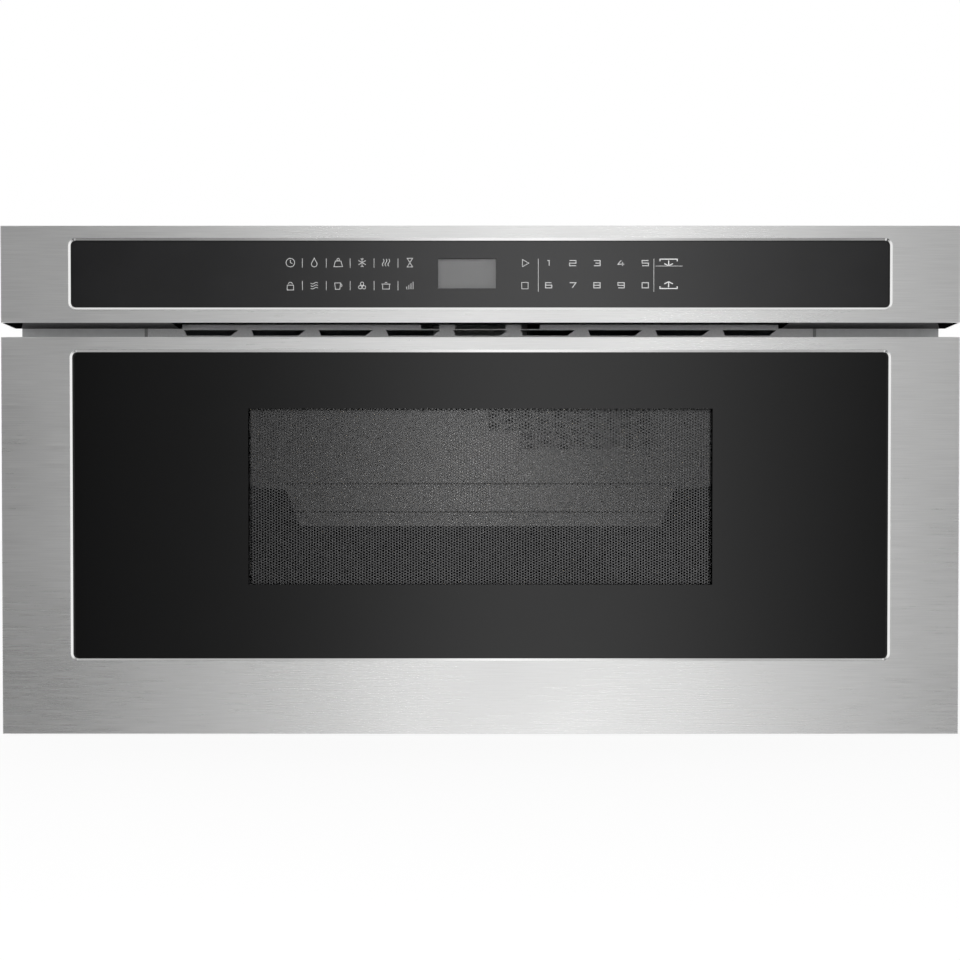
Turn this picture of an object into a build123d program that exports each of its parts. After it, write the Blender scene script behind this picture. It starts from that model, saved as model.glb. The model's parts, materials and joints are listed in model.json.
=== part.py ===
from build123d import *
import os
from math import acos, cos, degrees, pi, radians, sin, tan

# Built-in microwave drawer of the nominal 30 inch class, in millimetres.
# +X is right, +Y runs back into the cabinet, +Z is up. The origin lies under the middle of the outer box.

os.makedirs("parts", exist_ok=True)
SIDES = (("left", -1), ("right", 1))

# ---------------------------------------------------------------- driving dimensions
FACE_WIDTH = 760.0
FACE_HEIGHT = 405.0
DEPTH = 630.0
FACE_DEPTH = 45.0           # how far the face stands in front of the flange
DRAWER_FRONT_BOTTOM = 2.0
DRAWER_FRONT_TOP = 317.0
FACE_GAP = 11.3             # between the drawer front and the control panel
TRAVEL = 381.0

SKIN = 1.2                  # stainless skins
SHEET = 1.2                 # body and cavity sheet
FLANGE = 1.5
BEVEL = 2.0                 # rolled edge round each glass
GLASS = 4.0

BODY_WIDTH = 706.0
BODY_TOP = 374.0
RUNNER_HEIGHT = 6.0
FLANGE_WIDTH = 747.2
FLANGE_BOTTOM, FLANGE_TOP = 4.0, 399.0
SCREW_SPACING_X, SCREW_SPACING_Z, SCREW_MID_Z = 727.0, 200.0, 200.0
SCREW_HOLE_R = 2.5

CAVITY_WIDTH = 456.0
CAVITY_FLOOR, CAVITY_CEILING = 100.0, 292.0
CAVITY_DEPTH = 421.0

DRAWER_GLASS_WIDTH, DRAWER_GLASS_BOTTOM, DRAWER_GLASS_TOP = 645.2, 62.1, 305.0
CONTROL_GLASS_WIDTH, CONTROL_GLASS_BOTTOM, CONTROL_GLASS_TOP = 648.0, 340.3, 393.2
GLASS_CORNER = 4.0
GLASS_BORDER = 5.0          # hidden margin behind the rolled edge
WINDOW_SIDE_MARGIN, WINDOW_LOW_MARGIN, WINDOW_TOP_MARGIN = 43.6, 20.5, 31.5   # inside the cavity's mouth

TUB_SIDE_GAP = 5.0          # between the tub and the cavity's side
TUB_WALL = 2.5
TUB_CLEARANCE = 2.0         # under the tub
TUB_SIDE_TOP = 207.0
TUB_LOW_TOP = 168.5         # middle of the rear wall
SHELF = 5.0                 # glass-ceramic plate

SLIDE_LENGTH = 450.0
SLIDE_HEIGHT = 45.0
SLIDE_Z = 140.0
ARM_GAP = 46.0              # between the cavity and the inner face of each rail arm
ARM = 2.0
SLIDE_THICKNESS = 12.7

GEAR_MODULE = 2.5
PINION_TEETH = 17
PINION_WIDTH = 10.0
SHAFT_BACK, SHAFT_Z, SHAFT_R = 35.0, 52.0, 4.0      # behind the flange's front, height, radius
PRESSURE_ANGLE = radians(20)
TOOTH_THINNING = 0.15       # taken off each tooth's thickness, for backlash
RUNNING_FIT = 0.05          # radial clearance of shafts in bores
SEAT = 0.3                  # gap between pieces that pass each other

# ---------------------------------------------------------------- worked-out places
FRONT = -DEPTH / 2
BACK = DEPTH / 2
FLANGE_FRONT = FRONT + FACE_DEPTH
BODY_FRONT = FLANGE_FRONT + FLANGE
BODY_BACK = BACK - SHEET
CONTROL_BOTTOM = DRAWER_FRONT_TOP + FACE_GAP
GLASS_FRONT = FRONT + BEVEL + 0.2
DOOR_BACK = FLANGE_FRONT - 2.0
CAVITY_BACK = FLANGE_FRONT + CAVITY_DEPTH
HALF_BODY = BODY_WIDTH / 2
HALF_CAVITY = CAVITY_WIDTH / 2
FLOOR_TOP = RUNNER_HEIGHT + SHEET
WINDOW_WIDTH = CAVITY_WIDTH - 2 * WINDOW_SIDE_MARGIN
WINDOW_BOTTOM, WINDOW_TOP = CAVITY_FLOOR + WINDOW_LOW_MARGIN, CAVITY_CEILING - WINDOW_TOP_MARGIN
TUB_WIDTH = CAVITY_WIDTH - 2 * TUB_SIDE_GAP
ARM_X = HALF_CAVITY + ARM_GAP
SHAFT_Y = FLANGE_FRONT + SHAFT_BACK
MAGNETRON_Y = BACK - 100.0


def facing(y):
    """The plane at depth y seen from the front, x right and z up. What is extruded comes forwards."""
    return Plane.XZ.offset(-y)


def block(x, y, z, mode=Mode.ADD):
    """A rectangular block between two limits on each axis."""
    with Locations(((x[0] + x[1]) / 2, (y[0] + y[1]) / 2, (z[0] + z[1]) / 2)):
        Box(x[1] - x[0], y[1] - y[0], z[1] - z[0], mode=mode)


def mirrored(sign, near, far):
    """The x limits of something between near and far from the middle, on one side."""
    return tuple(sorted((sign * near, sign * far)))


def save(piece, node):
    piece.part.label = node
    export_step(piece.part, f"parts/{node}.step")


# ================================================================ face
def glazed_skin(bottom, top, depth, glass_width, glass_bottom, glass_top, open_bottom):
    """A folded stainless front with a rolled, bevelled cut-out round its glass."""
    back = FRONT + depth
    inner_bottom = bottom - SKIN if open_bottom else bottom + SKIN
    glass_mid = (glass_bottom + glass_top) / 2
    glass_height = glass_top - glass_bottom
    with BuildPart() as skin:
        block((-FACE_WIDTH / 2, FACE_WIDTH / 2), (FRONT, back), (bottom, top))
        fold_edges = skin.faces().sort_by(Axis.Y)[0].edges()
        fillet(fold_edges, radius=SKIN / 2)
        block((-FACE_WIDTH / 2 + SKIN, FACE_WIDTH / 2 - SKIN), (FRONT + SKIN, back),
              (inner_bottom, top - SKIN), mode=Mode.SUBTRACT)
        with BuildSketch(facing(GLASS_FRONT)):
            with Locations((0, glass_mid)):
                rim = GLASS_BORDER * 2 + BEVEL * 2
                RectangleRounded(glass_width + rim, glass_height + rim, GLASS_CORNER + rim / 2)
        extrude(amount=GLASS_FRONT - FRONT - SKIN)
        with BuildSketch(facing(GLASS_FRONT)):
            with Locations((0, glass_mid)):
                RectangleRounded(glass_width, glass_height, GLASS_CORNER)
        extrude(amount=GLASS_FRONT - FRONT, mode=Mode.SUBTRACT)
        front_face = skin.faces().filter_by(Plane.XZ).sort_by(Axis.Y)[0]
        chamfer(front_face.inner_wires()[0].edges(), length=BEVEL)
    return skin


drawer_skin_depth = FACE_DEPTH - 6.0
drawer_front_skin = glazed_skin(DRAWER_FRONT_BOTTOM, DRAWER_FRONT_TOP, drawer_skin_depth,
                                DRAWER_GLASS_WIDTH, DRAWER_GLASS_BOTTOM, DRAWER_GLASS_TOP, False)
save(drawer_front_skin, "drawer_front_skin")

control_panel_skin = glazed_skin(CONTROL_BOTTOM, FACE_HEIGHT, FACE_DEPTH, CONTROL_GLASS_WIDTH,
                                 CONTROL_GLASS_BOTTOM, CONTROL_GLASS_TOP, True)
save(control_panel_skin, "control_panel_skin")

with BuildPart() as drawer_glass:
    with BuildSketch(facing(GLASS_FRONT + GLASS)):
        with Locations((0, (DRAWER_GLASS_BOTTOM + DRAWER_GLASS_TOP) / 2)):
            RectangleRounded(DRAWER_GLASS_WIDTH + 2 * GLASS_BORDER,
                             DRAWER_GLASS_TOP - DRAWER_GLASS_BOTTOM + 2 * GLASS_BORDER,
                             GLASS_CORNER + GLASS_BORDER)
    extrude(amount=GLASS)
save(drawer_glass, "drawer_glass")

control_glass_thickness = 3.0
control_glass_back = GLASS_FRONT + control_glass_thickness
with BuildPart() as control_glass:
    with BuildSketch(facing(control_glass_back)):
        with Locations((0, (CONTROL_GLASS_BOTTOM + CONTROL_GLASS_TOP) / 2)):
            RectangleRounded(CONTROL_GLASS_WIDTH + 2 * GLASS_BORDER,
                             CONTROL_GLASS_TOP - CONTROL_GLASS_BOTTOM + 2 * GLASS_BORDER,
                             GLASS_CORNER + GLASS_BORDER)
    extrude(amount=control_glass_thickness)
save(control_glass, "control_glass")

# Film with the touch pads, glued behind the control glass, and the display behind it.
touch_film = 0.8
film_back = control_glass_back + touch_film
with BuildPart() as touch_sensor:
    block((-CONTROL_GLASS_WIDTH / 2 + 8, CONTROL_GLASS_WIDTH / 2 - 8), (control_glass_back, film_back),
          (CONTROL_GLASS_BOTTOM + 1, CONTROL_GLASS_TOP - 1))
save(touch_sensor, "touch_sensor")

DISPLAY_X = (-36.0, 14.5)
DISPLAY_Z = (353.0, 381.0)
display_depth = 9.0
display_back = film_back + display_depth
with BuildPart() as display_module:
    block(DISPLAY_X, (film_back, display_back), DISPLAY_Z)
    chamfer(display_module.faces().sort_by(Axis.Y)[-1].edges(), length=1.5)
save(display_module, "display_module")

board = 1.6                 # thickness of a circuit board
board_half = 180.0
board_z = (344.0, 394.0)
board_mid_z = sum(board_z) / 2
board_back = display_back + board
component_height = 10.0
component_places = ((-120, 30, 22), (-60, 18, 18), (70, 26, 20), (130, 34, 26))
with BuildPart() as control_board:
    block((-board_half, board_half), (display_back, board_back), board_z)
    for x, width, height in component_places:
        block((x - width / 2, x + width / 2), (board_back, board_back + component_height),
              (board_mid_z - height / 2, board_mid_z + height / 2))
save(control_board, "control_board")

# Black moulded housing behind the control panel. Its underside, with a recess for the air, shows in the gap.
housing_wall = 2.0
glass_room = 8.0
post_r, post_spacing_z = 3.5, 34.0
housing_half = FACE_WIDTH / 2 - SKIN - 0.2
housing_top = FACE_HEIGHT - SKIN - 0.2
housing_front = FRONT + SKIN
RECESS_HALF, RECESS_HEIGHT, RECESS_FRONT = 243.0, 4.7, FRONT + 15.0
with BuildPart() as control_housing:
    block((-housing_half, housing_half), (housing_front, FLANGE_FRONT), (CONTROL_BOTTOM, housing_top))
    block((-housing_half + housing_wall, housing_half - housing_wall),
          (housing_front, FLANGE_FRONT - housing_wall),
          (CONTROL_BOTTOM + RECESS_HEIGHT + housing_wall, housing_top - housing_wall), mode=Mode.SUBTRACT)
    block((-RECESS_HALF, RECESS_HALF), (RECESS_FRONT, FLANGE_FRONT),
          (CONTROL_BOTTOM, CONTROL_BOTTOM + RECESS_HEIGHT), mode=Mode.SUBTRACT)
    # room for the rolled edge and the glass at the open front
    block((-CONTROL_GLASS_WIDTH / 2 - glass_room, CONTROL_GLASS_WIDTH / 2 + glass_room),
          (housing_front, control_glass_back),
          (CONTROL_GLASS_BOTTOM - glass_room, housing_top - housing_wall), mode=Mode.SUBTRACT)
    # posts that carry the board
    with BuildSketch(facing(FLANGE_FRONT - housing_wall)):
        with Locations((0, board_mid_z)):
            with GridLocations(2 * (board_half - post_r - 4.5), post_spacing_z, 2, 2):
                RegularPolygon(post_r, 6)
    extrude(amount=FLANGE_FRONT - housing_wall - board_back)
save(control_housing, "control_housing")


# ================================================================ body
body_length = BODY_BACK - BODY_FRONT
body_mid_y = (BODY_BACK + BODY_FRONT) / 2

floor_vent_places = ((-60, BACK - 80), (40, BACK - 80))
with BuildPart() as base_plate:
    with BuildSketch(Plane.XY.offset(RUNNER_HEIGHT)):
        with Locations((0, body_mid_y)):
            Rectangle(BODY_WIDTH, body_length)
        with Locations(*floor_vent_places):
            with GridLocations(12, 0, 7, 1):
                Rectangle(5, 60, mode=Mode.SUBTRACT)
    extrude(amount=SHEET)
save(base_plate, "base_plate")

runner_x, runner_width, runner_inset = 322.0, 30.0, 12.0
with BuildPart() as base_runners:
    with BuildSketch(Plane.XY):
        with GridLocations(2 * runner_x, 0, 2, 1):
            with Locations((0, body_mid_y)):
                Rectangle(runner_width, body_length - 2 * runner_inset)
    extrude(amount=RUNNER_HEIGHT)
    chamfer(base_runners.faces().sort_by(Axis.Z)[0].edges(), length=1.5)
save(base_runners, "base_runners")

side_lip = 12.0
side_top = BODY_TOP - SHEET
side_vent_y, side_vent_z = MAGNETRON_Y, 250.0
screw_head_r, screw_head = 4.0, 2.2
cover_screw_y = (BODY_FRONT + 78.5, BACK - 275.0, BACK - 45.0)
cover_screw_z = BODY_TOP - 8.0
with BuildPart() as side_panels:
    for sign in (-1, 1):
        block(mirrored(sign, HALF_BODY - SHEET, HALF_BODY), (BODY_FRONT, BODY_BACK), (FLOOR_TOP, side_top))
        for lip_z in ((FLOOR_TOP, FLOOR_TOP + SHEET), (side_top - SHEET, side_top)):
            block(mirrored(sign, HALF_BODY - side_lip, HALF_BODY - SHEET), (BODY_FRONT, BODY_BACK), lip_z)
    with BuildSketch(Plane.YZ.offset(-HALF_BODY)):
        with Locations((side_vent_y, side_vent_z)):
            with GridLocations(14, 0, 7, 1):
                Rectangle(6, 64)
    extrude(amount=BODY_WIDTH, mode=Mode.SUBTRACT)
save(side_panels, "side_panels")

cover_lip = 15.0
with BuildPart() as top_cover:
    with BuildSketch(facing(BODY_BACK)):
        with BuildLine():
            lip_x, lip_top = HALF_BODY + SHEET / 2, BODY_TOP - SHEET / 2
            Polyline((-lip_x, lip_top - cover_lip), (-lip_x, lip_top),
                     (lip_x, lip_top), (lip_x, lip_top - cover_lip))
        trace(line_width=SHEET)
    extrude(amount=body_length)
save(top_cover, "top_cover")

# Hex heads of the screws that hold the cover's lips.
with BuildPart() as cover_screws:
    for sign in (-1, 1):
        with BuildSketch(Plane.YZ.offset(sign * (HALF_BODY + SHEET))):
            with Locations([(y, cover_screw_z) for y in cover_screw_y]):
                RegularPolygon(screw_head_r, 6)
        extrude(amount=sign * screw_head)
save(cover_screws, "cover_screws")

FAN_FRAME, FAN_R = 120.0, 54.0
FAN_X, FAN_Z = ARM_X - FAN_FRAME / 2 - 9.0, 205.0
fan_grille_width, rear_vent_width, rear_vent_slot, rear_vent_pitch = 90.0, 120.0, 4.5, 9.0
GLAND_X, GLAND_Z, GLAND_R, GLAND_BORE_R = -290.0, 60.0, 9.0, 4.5
with BuildPart() as back_panel:
    with BuildSketch(facing(BACK)):
        with Locations((0, (BODY_TOP + RUNNER_HEIGHT) / 2)):
            Rectangle(BODY_WIDTH, BODY_TOP - RUNNER_HEIGHT)
        with Locations((FAN_X, FAN_Z)):
            with GridLocations(0, rear_vent_pitch, 1, 10):
                Rectangle(fan_grille_width, rear_vent_slot, mode=Mode.SUBTRACT)
        with Locations((-60, 90)):
            with GridLocations(0, rear_vent_pitch, 1, 8):
                Rectangle(rear_vent_width, rear_vent_slot, mode=Mode.SUBTRACT)
        with Locations((GLAND_X, GLAND_Z)):
            Circle(GLAND_R, mode=Mode.SUBTRACT)
    extrude(amount=SHEET)
save(back_panel, "back_panel")

gland_flange_r, gland_flange, gland_tail = 13.0, 4.0, 9.0
with BuildPart(facing(BACK)) as cord_gland:
    with Locations((GLAND_X, GLAND_Z, gland_tail / 2)):
        Cylinder(GLAND_R - RUNNING_FIT, gland_tail)
    with BuildSketch(facing(BACK - SHEET)):
        with Locations((GLAND_X, GLAND_Z)):
            RegularPolygon(gland_flange_r, 8)
    extrude(amount=gland_flange)
    with Locations((GLAND_X, GLAND_Z, gland_tail / 2)):
        Cylinder(GLAND_BORE_R, gland_tail, mode=Mode.SUBTRACT)
save(cord_gland, "cord_gland")

# Front flange with the cavity mouth, a slot for each rail arm, each latch hook and the vent grille.
RAIL_SLOT_X = (ARM_X - 15.0, ARM_X + 19.0)
RAIL_SLOT_Z = (66.0, 172.0)
HOOK_X, HOOK_Z = ARM_X + 35.0, 201.0
HOOK_SLOT_WIDTH, HOOK_SLOT_HEIGHT = 22.0, 32.0
GRILLE_HALF = 272.8
GRILLE_Z = (310.0, 340.0)
with BuildPart() as front_flange:
    with BuildSketch(facing(BODY_FRONT)):
        with Locations((0, (FLANGE_TOP + FLANGE_BOTTOM) / 2)):
            RectangleRounded(FLANGE_WIDTH, FLANGE_TOP - FLANGE_BOTTOM, 3)
        with Locations((0, (CAVITY_CEILING + CAVITY_FLOOR) / 2)):
            Rectangle(CAVITY_WIDTH, CAVITY_CEILING - CAVITY_FLOOR, mode=Mode.SUBTRACT)
        with Locations((0, sum(RAIL_SLOT_Z) / 2)):
            with GridLocations(sum(RAIL_SLOT_X), 0, 2, 1):
                Rectangle(RAIL_SLOT_X[1] - RAIL_SLOT_X[0], RAIL_SLOT_Z[1] - RAIL_SLOT_Z[0],
                          mode=Mode.SUBTRACT)
        with Locations((0, HOOK_Z)):
            with GridLocations(2 * HOOK_X, 0, 2, 1):
                Rectangle(HOOK_SLOT_WIDTH, HOOK_SLOT_HEIGHT, mode=Mode.SUBTRACT)
        with Locations((0, sum(GRILLE_Z) / 2)):
            Rectangle(2 * GRILLE_HALF, GRILLE_Z[1] - GRILLE_Z[0], mode=Mode.SUBTRACT)
        with Locations((0, SCREW_MID_Z)):
            with GridLocations(SCREW_SPACING_X, SCREW_SPACING_Z, 2, 2):
                Circle(SCREW_HOLE_R, mode=Mode.SUBTRACT)
    extrude(amount=FLANGE)
save(front_flange, "front_flange")

# Moulded grille: a pad that fills the flange's slot, on a wider lip behind the flange.
# Nine slanted louvre slots over the full width, three more openings in the middle above them.
LOUVRE_COUNT, LOUVRE_PITCH = 9, 54.9
LOUVRE_Z = (322.6, 327.2)
LOUVRE_TOP, LOUVRE_LEFT_LEAN, LOUVRE_RIGHT_LEAN = 44.2, 2.0, 6.0
UPPER_Z = (328.0, 332.7)
UPPER_MIDDLE_WIDTH, UPPER_SIDE_WIDTH, UPPER_SIDE_X = 41.0, 15.0, 41.0
grille_lip, grille_thick = 5.0, 2.0
grille_back = BODY_FRONT + grille_thick
with BuildPart() as vent_grille:
    block((-GRILLE_HALF + SEAT, GRILLE_HALF - SEAT), (FLANGE_FRONT, BODY_FRONT),
          (GRILLE_Z[0] + SEAT, GRILLE_Z[1] - SEAT))
    block((-GRILLE_HALF - grille_lip, GRILLE_HALF + grille_lip), (BODY_FRONT, grille_back),
          (GRILLE_Z[0] - grille_lip, GRILLE_Z[1] + grille_lip))
    with BuildSketch(facing(grille_back)):
        with GridLocations(LOUVRE_PITCH, 0, LOUVRE_COUNT, 1):
            half = LOUVRE_TOP / 2
            Polygon((-half, LOUVRE_Z[1]), (half, LOUVRE_Z[1]), (half - LOUVRE_RIGHT_LEAN, LOUVRE_Z[0]),
                    (-half + LOUVRE_LEFT_LEAN, LOUVRE_Z[0]), align=None)
        with Locations((0, sum(UPPER_Z) / 2)):
            Rectangle(UPPER_MIDDLE_WIDTH, UPPER_Z[1] - UPPER_Z[0])
            with GridLocations(2 * UPPER_SIDE_X, 0, 2, 1):
                Rectangle(UPPER_SIDE_WIDTH, UPPER_Z[1] - UPPER_Z[0])
    extrude(amount=grille_back - FLANGE_FRONT, mode=Mode.SUBTRACT)
save(vent_grille, "vent_grille")


# ================================================================ cavity
cavity_mid_y = (BODY_FRONT + CAVITY_BACK) / 2
bead_depth, bead_height = 1.5, 5.0
bead_y = (BODY_FRONT + 40, CAVITY_BACK - 40)
vent_hole_r = 3.2
with BuildPart() as cavity_floor:
    block((-HALF_CAVITY, HALF_CAVITY), (BODY_FRONT, CAVITY_BACK), (CAVITY_FLOOR - SHEET, CAVITY_FLOOR))
    for x in (-130, 0, 130):
        block((x - 2 * bead_height, x + 2 * bead_height), bead_y,
              (CAVITY_FLOOR - SHEET - bead_depth, CAVITY_FLOOR - SHEET))
save(cavity_floor, "cavity_floor")

with BuildPart() as cavity_sides:
    for sign in (-1, 1):
        block(mirrored(sign, HALF_CAVITY, HALF_CAVITY + SHEET), (BODY_FRONT, CAVITY_BACK),
              (CAVITY_FLOOR - SHEET, CAVITY_CEILING + SHEET))
        for z in (TUB_SIDE_TOP + 20, TUB_SIDE_TOP + 57):
            block(mirrored(sign, HALF_CAVITY - bead_depth, HALF_CAVITY), bead_y,
                  (z - bead_height / 2, z + bead_height / 2))
save(cavity_sides, "cavity_sides")

REAR_BEADS_Z = (181.7, 212.5)
rear_bead_half = HALF_CAVITY - 33.0
with BuildPart() as cavity_rear_wall:
    block((-HALF_CAVITY - SHEET, HALF_CAVITY + SHEET), (CAVITY_BACK, CAVITY_BACK + SHEET),
          (CAVITY_FLOOR - SHEET, CAVITY_CEILING + SHEET))
    for z in REAR_BEADS_Z:
        block((-rear_bead_half, rear_bead_half), (CAVITY_BACK - bead_depth, CAVITY_BACK),
              (z - bead_height / 2, z + bead_height / 2))
    with BuildSketch(facing(CAVITY_BACK + SHEET)):
        with Locations((44, 277.5)):
            with GridLocations(12, 12, 6, 2):
                RegularPolygon(vent_hole_r, 6)
        with Locations((98, 255.5)):
            with GridLocations(14, 0, 8, 1):
                RegularPolygon(vent_hole_r, 6)
    extrude(amount=SHEET, mode=Mode.SUBTRACT)
save(cavity_rear_wall, "cavity_rear_wall")

# The ceiling has a raised pan over the stirrer, and the waveguide stands on the pan.
STIRRER_Y = cavity_mid_y
PAN_HALF_X, PAN_HALF_Y, PAN_HEIGHT = 110.0, 110.0, 16.0
PAN_TOP = CAVITY_CEILING + PAN_HEIGHT + SHEET
PAN_CORNER = 20.0
FEED_R = 34.0
with BuildPart() as cavity_ceiling:
    block((-HALF_CAVITY, HALF_CAVITY), (BODY_FRONT, CAVITY_BACK), (CAVITY_CEILING, CAVITY_CEILING + SHEET))
    with BuildSketch(Plane.XY.offset(CAVITY_CEILING)):
        with Locations((0, STIRRER_Y)):
            pan = Rectangle(2 * (PAN_HALF_X + SHEET), 2 * (PAN_HALF_Y + SHEET))
        chamfer(pan.vertices(), length=PAN_CORNER)
    extrude(amount=PAN_HEIGHT + SHEET)
    with BuildSketch(Plane.XY.offset(CAVITY_CEILING)):
        with Locations((0, STIRRER_Y)):
            hollow = Rectangle(2 * PAN_HALF_X, 2 * PAN_HALF_Y)
        chamfer(hollow.vertices(), length=PAN_CORNER - SHEET / 2)
    extrude(amount=PAN_HEIGHT, mode=Mode.SUBTRACT)
    with BuildSketch(Plane.XY.offset(CAVITY_CEILING)):
        with Locations((0, STIRRER_Y)):
            RegularPolygon(FEED_R, 16)
    extrude(amount=PAN_HEIGHT + SHEET, mode=Mode.SUBTRACT)
    with BuildSketch(Plane.XY.offset(CAVITY_CEILING)):
        with Locations((53 - HALF_CAVITY, STIRRER_Y)):
            with GridLocations(12, 12, 3, 3):
                RegularPolygon(vent_hole_r, 6)
    extrude(amount=SHEET, mode=Mode.SUBTRACT)
save(cavity_ceiling, "cavity_ceiling")

stirrer_cover_thick, cover_margin = 1.5, 12.0
with BuildPart() as stirrer_cover:
    with BuildSketch(Plane.XY.offset(CAVITY_CEILING - stirrer_cover_thick)):
        with Locations((0, STIRRER_Y)):
            mica = Rectangle(2 * (PAN_HALF_X + cover_margin), 2 * (PAN_HALF_Y + cover_margin))
        chamfer(mica.vertices(), length=cover_margin)
    extrude(amount=stirrer_cover_thick)
save(stirrer_cover, "stirrer_cover")

# ================================================================ microwave feed
GUIDE_WIDTH, GUIDE_HEIGHT = 86.0, 43.0
GUIDE_TOP = PAN_TOP + GUIDE_HEIGHT
guide_front, guide_back = STIRRER_Y - 45.0, MAGNETRON_Y + 45.0
STIRRER_SHAFT_R = 3.0
ANTENNA_HOLE_R = 12.0
with BuildPart() as waveguide:
    block((-GUIDE_WIDTH / 2, GUIDE_WIDTH / 2), (guide_front, guide_back), (PAN_TOP, GUIDE_TOP))
    block((-GUIDE_WIDTH / 2 + SHEET, GUIDE_WIDTH / 2 - SHEET), (guide_front + SHEET, guide_back - SHEET),
          (PAN_TOP + SHEET, GUIDE_TOP - SHEET), mode=Mode.SUBTRACT)
    with BuildSketch(Plane.XY.offset(PAN_TOP)):
        with Locations((0, STIRRER_Y)):
            RegularPolygon(FEED_R, 16)
        with Locations((0, MAGNETRON_Y)):
            RegularPolygon(ANTENNA_HOLE_R, 12)
    extrude(amount=SHEET, mode=Mode.SUBTRACT)
    with BuildSketch(Plane.XY.offset(GUIDE_TOP - SHEET)):
        with Locations((0, STIRRER_Y)):
            RegularPolygon(STIRRER_SHAFT_R + 1.5, 8)
    extrude(amount=SHEET, mode=Mode.SUBTRACT)
save(waveguide, "waveguide")

stirrer_motor_r, motor_height = 24.5, 16.0
motor_ear_x, motor_ear_r, motor_ear = 31.0, 5.0, 2.0
shaft_hold = 9.0
with BuildPart() as stirrer_motor:
    with BuildSketch(Plane.XY.offset(GUIDE_TOP)):
        with Locations((0, STIRRER_Y)):
            RegularPolygon(stirrer_motor_r, 20)
    extrude(amount=motor_height)
    with BuildSketch(Plane.XY.offset(GUIDE_TOP)):
        with Locations((0, STIRRER_Y)):
            Rectangle(2 * (motor_ear_x + motor_ear_r), 2 * motor_ear_r)
    extrude(amount=motor_ear)
    with Locations((0, STIRRER_Y, GUIDE_TOP + shaft_hold / 2)):
        Cylinder(STIRRER_SHAFT_R + RUNNING_FIT, shaft_hold, mode=Mode.SUBTRACT)
save(stirrer_motor, "stirrer_motor")

stirrer_z = CAVITY_CEILING + 5.0
paddle_length, paddle_width, paddle_tilt = 62.0, 26.0, 12.0
stirrer_hub_r, stirrer_hub_height = 9.0, 6.0
with BuildPart(Plane.XY.offset(stirrer_z).shift_origin((0, STIRRER_Y, stirrer_z))) as stirrer_fan:
    shaft_top = GUIDE_TOP + shaft_hold - 1 - stirrer_z
    with Locations((0, 0, shaft_top / 2)):
        Cylinder(STIRRER_SHAFT_R, shaft_top)
    with BuildSketch(Plane.XY.offset(stirrer_z)):
        with Locations((0, STIRRER_Y)):
            RegularPolygon(stirrer_hub_r, 12)
    extrude(amount=stirrer_hub_height)
    with PolarLocations(0, 4):
        with Locations(Location((paddle_length / 2 + stirrer_hub_r - 3, 0, 4), (paddle_tilt, 0, 0))):
            Box(paddle_length, paddle_width, SHEET)
save(stirrer_fan, "stirrer_fan")

MAGNETRON_HALF_X, MAGNETRON_HALF_Y = 40.0, 46.0
yoke_top, yoke_bottom = PAN_TOP - 10.0, PAN_TOP - 95.0
yoke = 1.5
filter_box_height = 28.0
with BuildPart() as magnetron_yoke:
    yoke_x = (-MAGNETRON_HALF_X, MAGNETRON_HALF_X)
    yoke_y = (MAGNETRON_Y - MAGNETRON_HALF_Y, MAGNETRON_Y + MAGNETRON_HALF_Y)
    block(yoke_x, yoke_y, (yoke_bottom, yoke_top))
    block(yoke_x, (yoke_y[0] + yoke, yoke_y[1] - yoke), (yoke_bottom + yoke, yoke_top - yoke),
          mode=Mode.SUBTRACT)
    # four bosses carry it under the waveguide
    with BuildSketch(Plane.XY.offset(yoke_top)):
        with Locations((0, MAGNETRON_Y)):
            with GridLocations(64, 72, 2, 2):
                RegularPolygon(4, 6)
    extrude(amount=PAN_TOP - yoke_top)
    with BuildSketch(Plane.XY.offset(yoke_top - yoke)):
        with Locations((0, MAGNETRON_Y)):
            RegularPolygon(16, 12)
    extrude(amount=yoke, mode=Mode.SUBTRACT)
    # filter box under the yoke, with the heater's two terminals
    terminal_z = yoke_bottom - filter_box_height / 2
    block((-30, 30), (MAGNETRON_Y - 34, MAGNETRON_Y + 34), (yoke_bottom - filter_box_height, yoke_bottom))
    with Locations((-33, MAGNETRON_Y, terminal_z)):
        Cylinder(9, 14, rotation=(0, 90, 0))
    with Locations((-42, MAGNETRON_Y, terminal_z)):
        with GridLocations(0, 8, 1, 2):
            Box(10, 0.8, 6)

# Anode barrel with cooling fins between two ring magnets, and the antenna that reaches into the waveguide.
anode_r, fin_count, fin_pitch, fin = 18.0, 5, 8.0, 0.8
magnet_r, magnet_height = 27.0, 12.0
antenna_base_r, antenna_r, antenna_top = 14.0, 8.0, PAN_TOP + 21.0
anode_z = (yoke_bottom + yoke, yoke_top - yoke)
with BuildPart() as magnetron_anode:
    for radius, bottom, top in ((anode_r, *anode_z), (magnet_r, anode_z[0], anode_z[0] + magnet_height),
                                (magnet_r, anode_z[1] - magnet_height, anode_z[1]),
                                (antenna_base_r, anode_z[1], PAN_TOP), (antenna_r, PAN_TOP, antenna_top)):
        with BuildSketch(Plane.XY.offset(bottom)):
            with Locations((0, MAGNETRON_Y)):
                RegularPolygon(radius, 12)
        extrude(amount=top - bottom)
    for level in range(fin_count):
        with Locations((0, MAGNETRON_Y, sum(anode_z) / 2 + (level - (fin_count - 1) / 2) * fin_pitch)):
            Box(2 * MAGNETRON_HALF_X - 4, 2 * (MAGNETRON_HALF_Y - yoke), fin)
magnetron = Compound(label="magnetron", children=magnetron_yoke.part.solids() + magnetron_anode.part.solids())
export_step(magnetron, "parts/magnetron.step")

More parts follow.
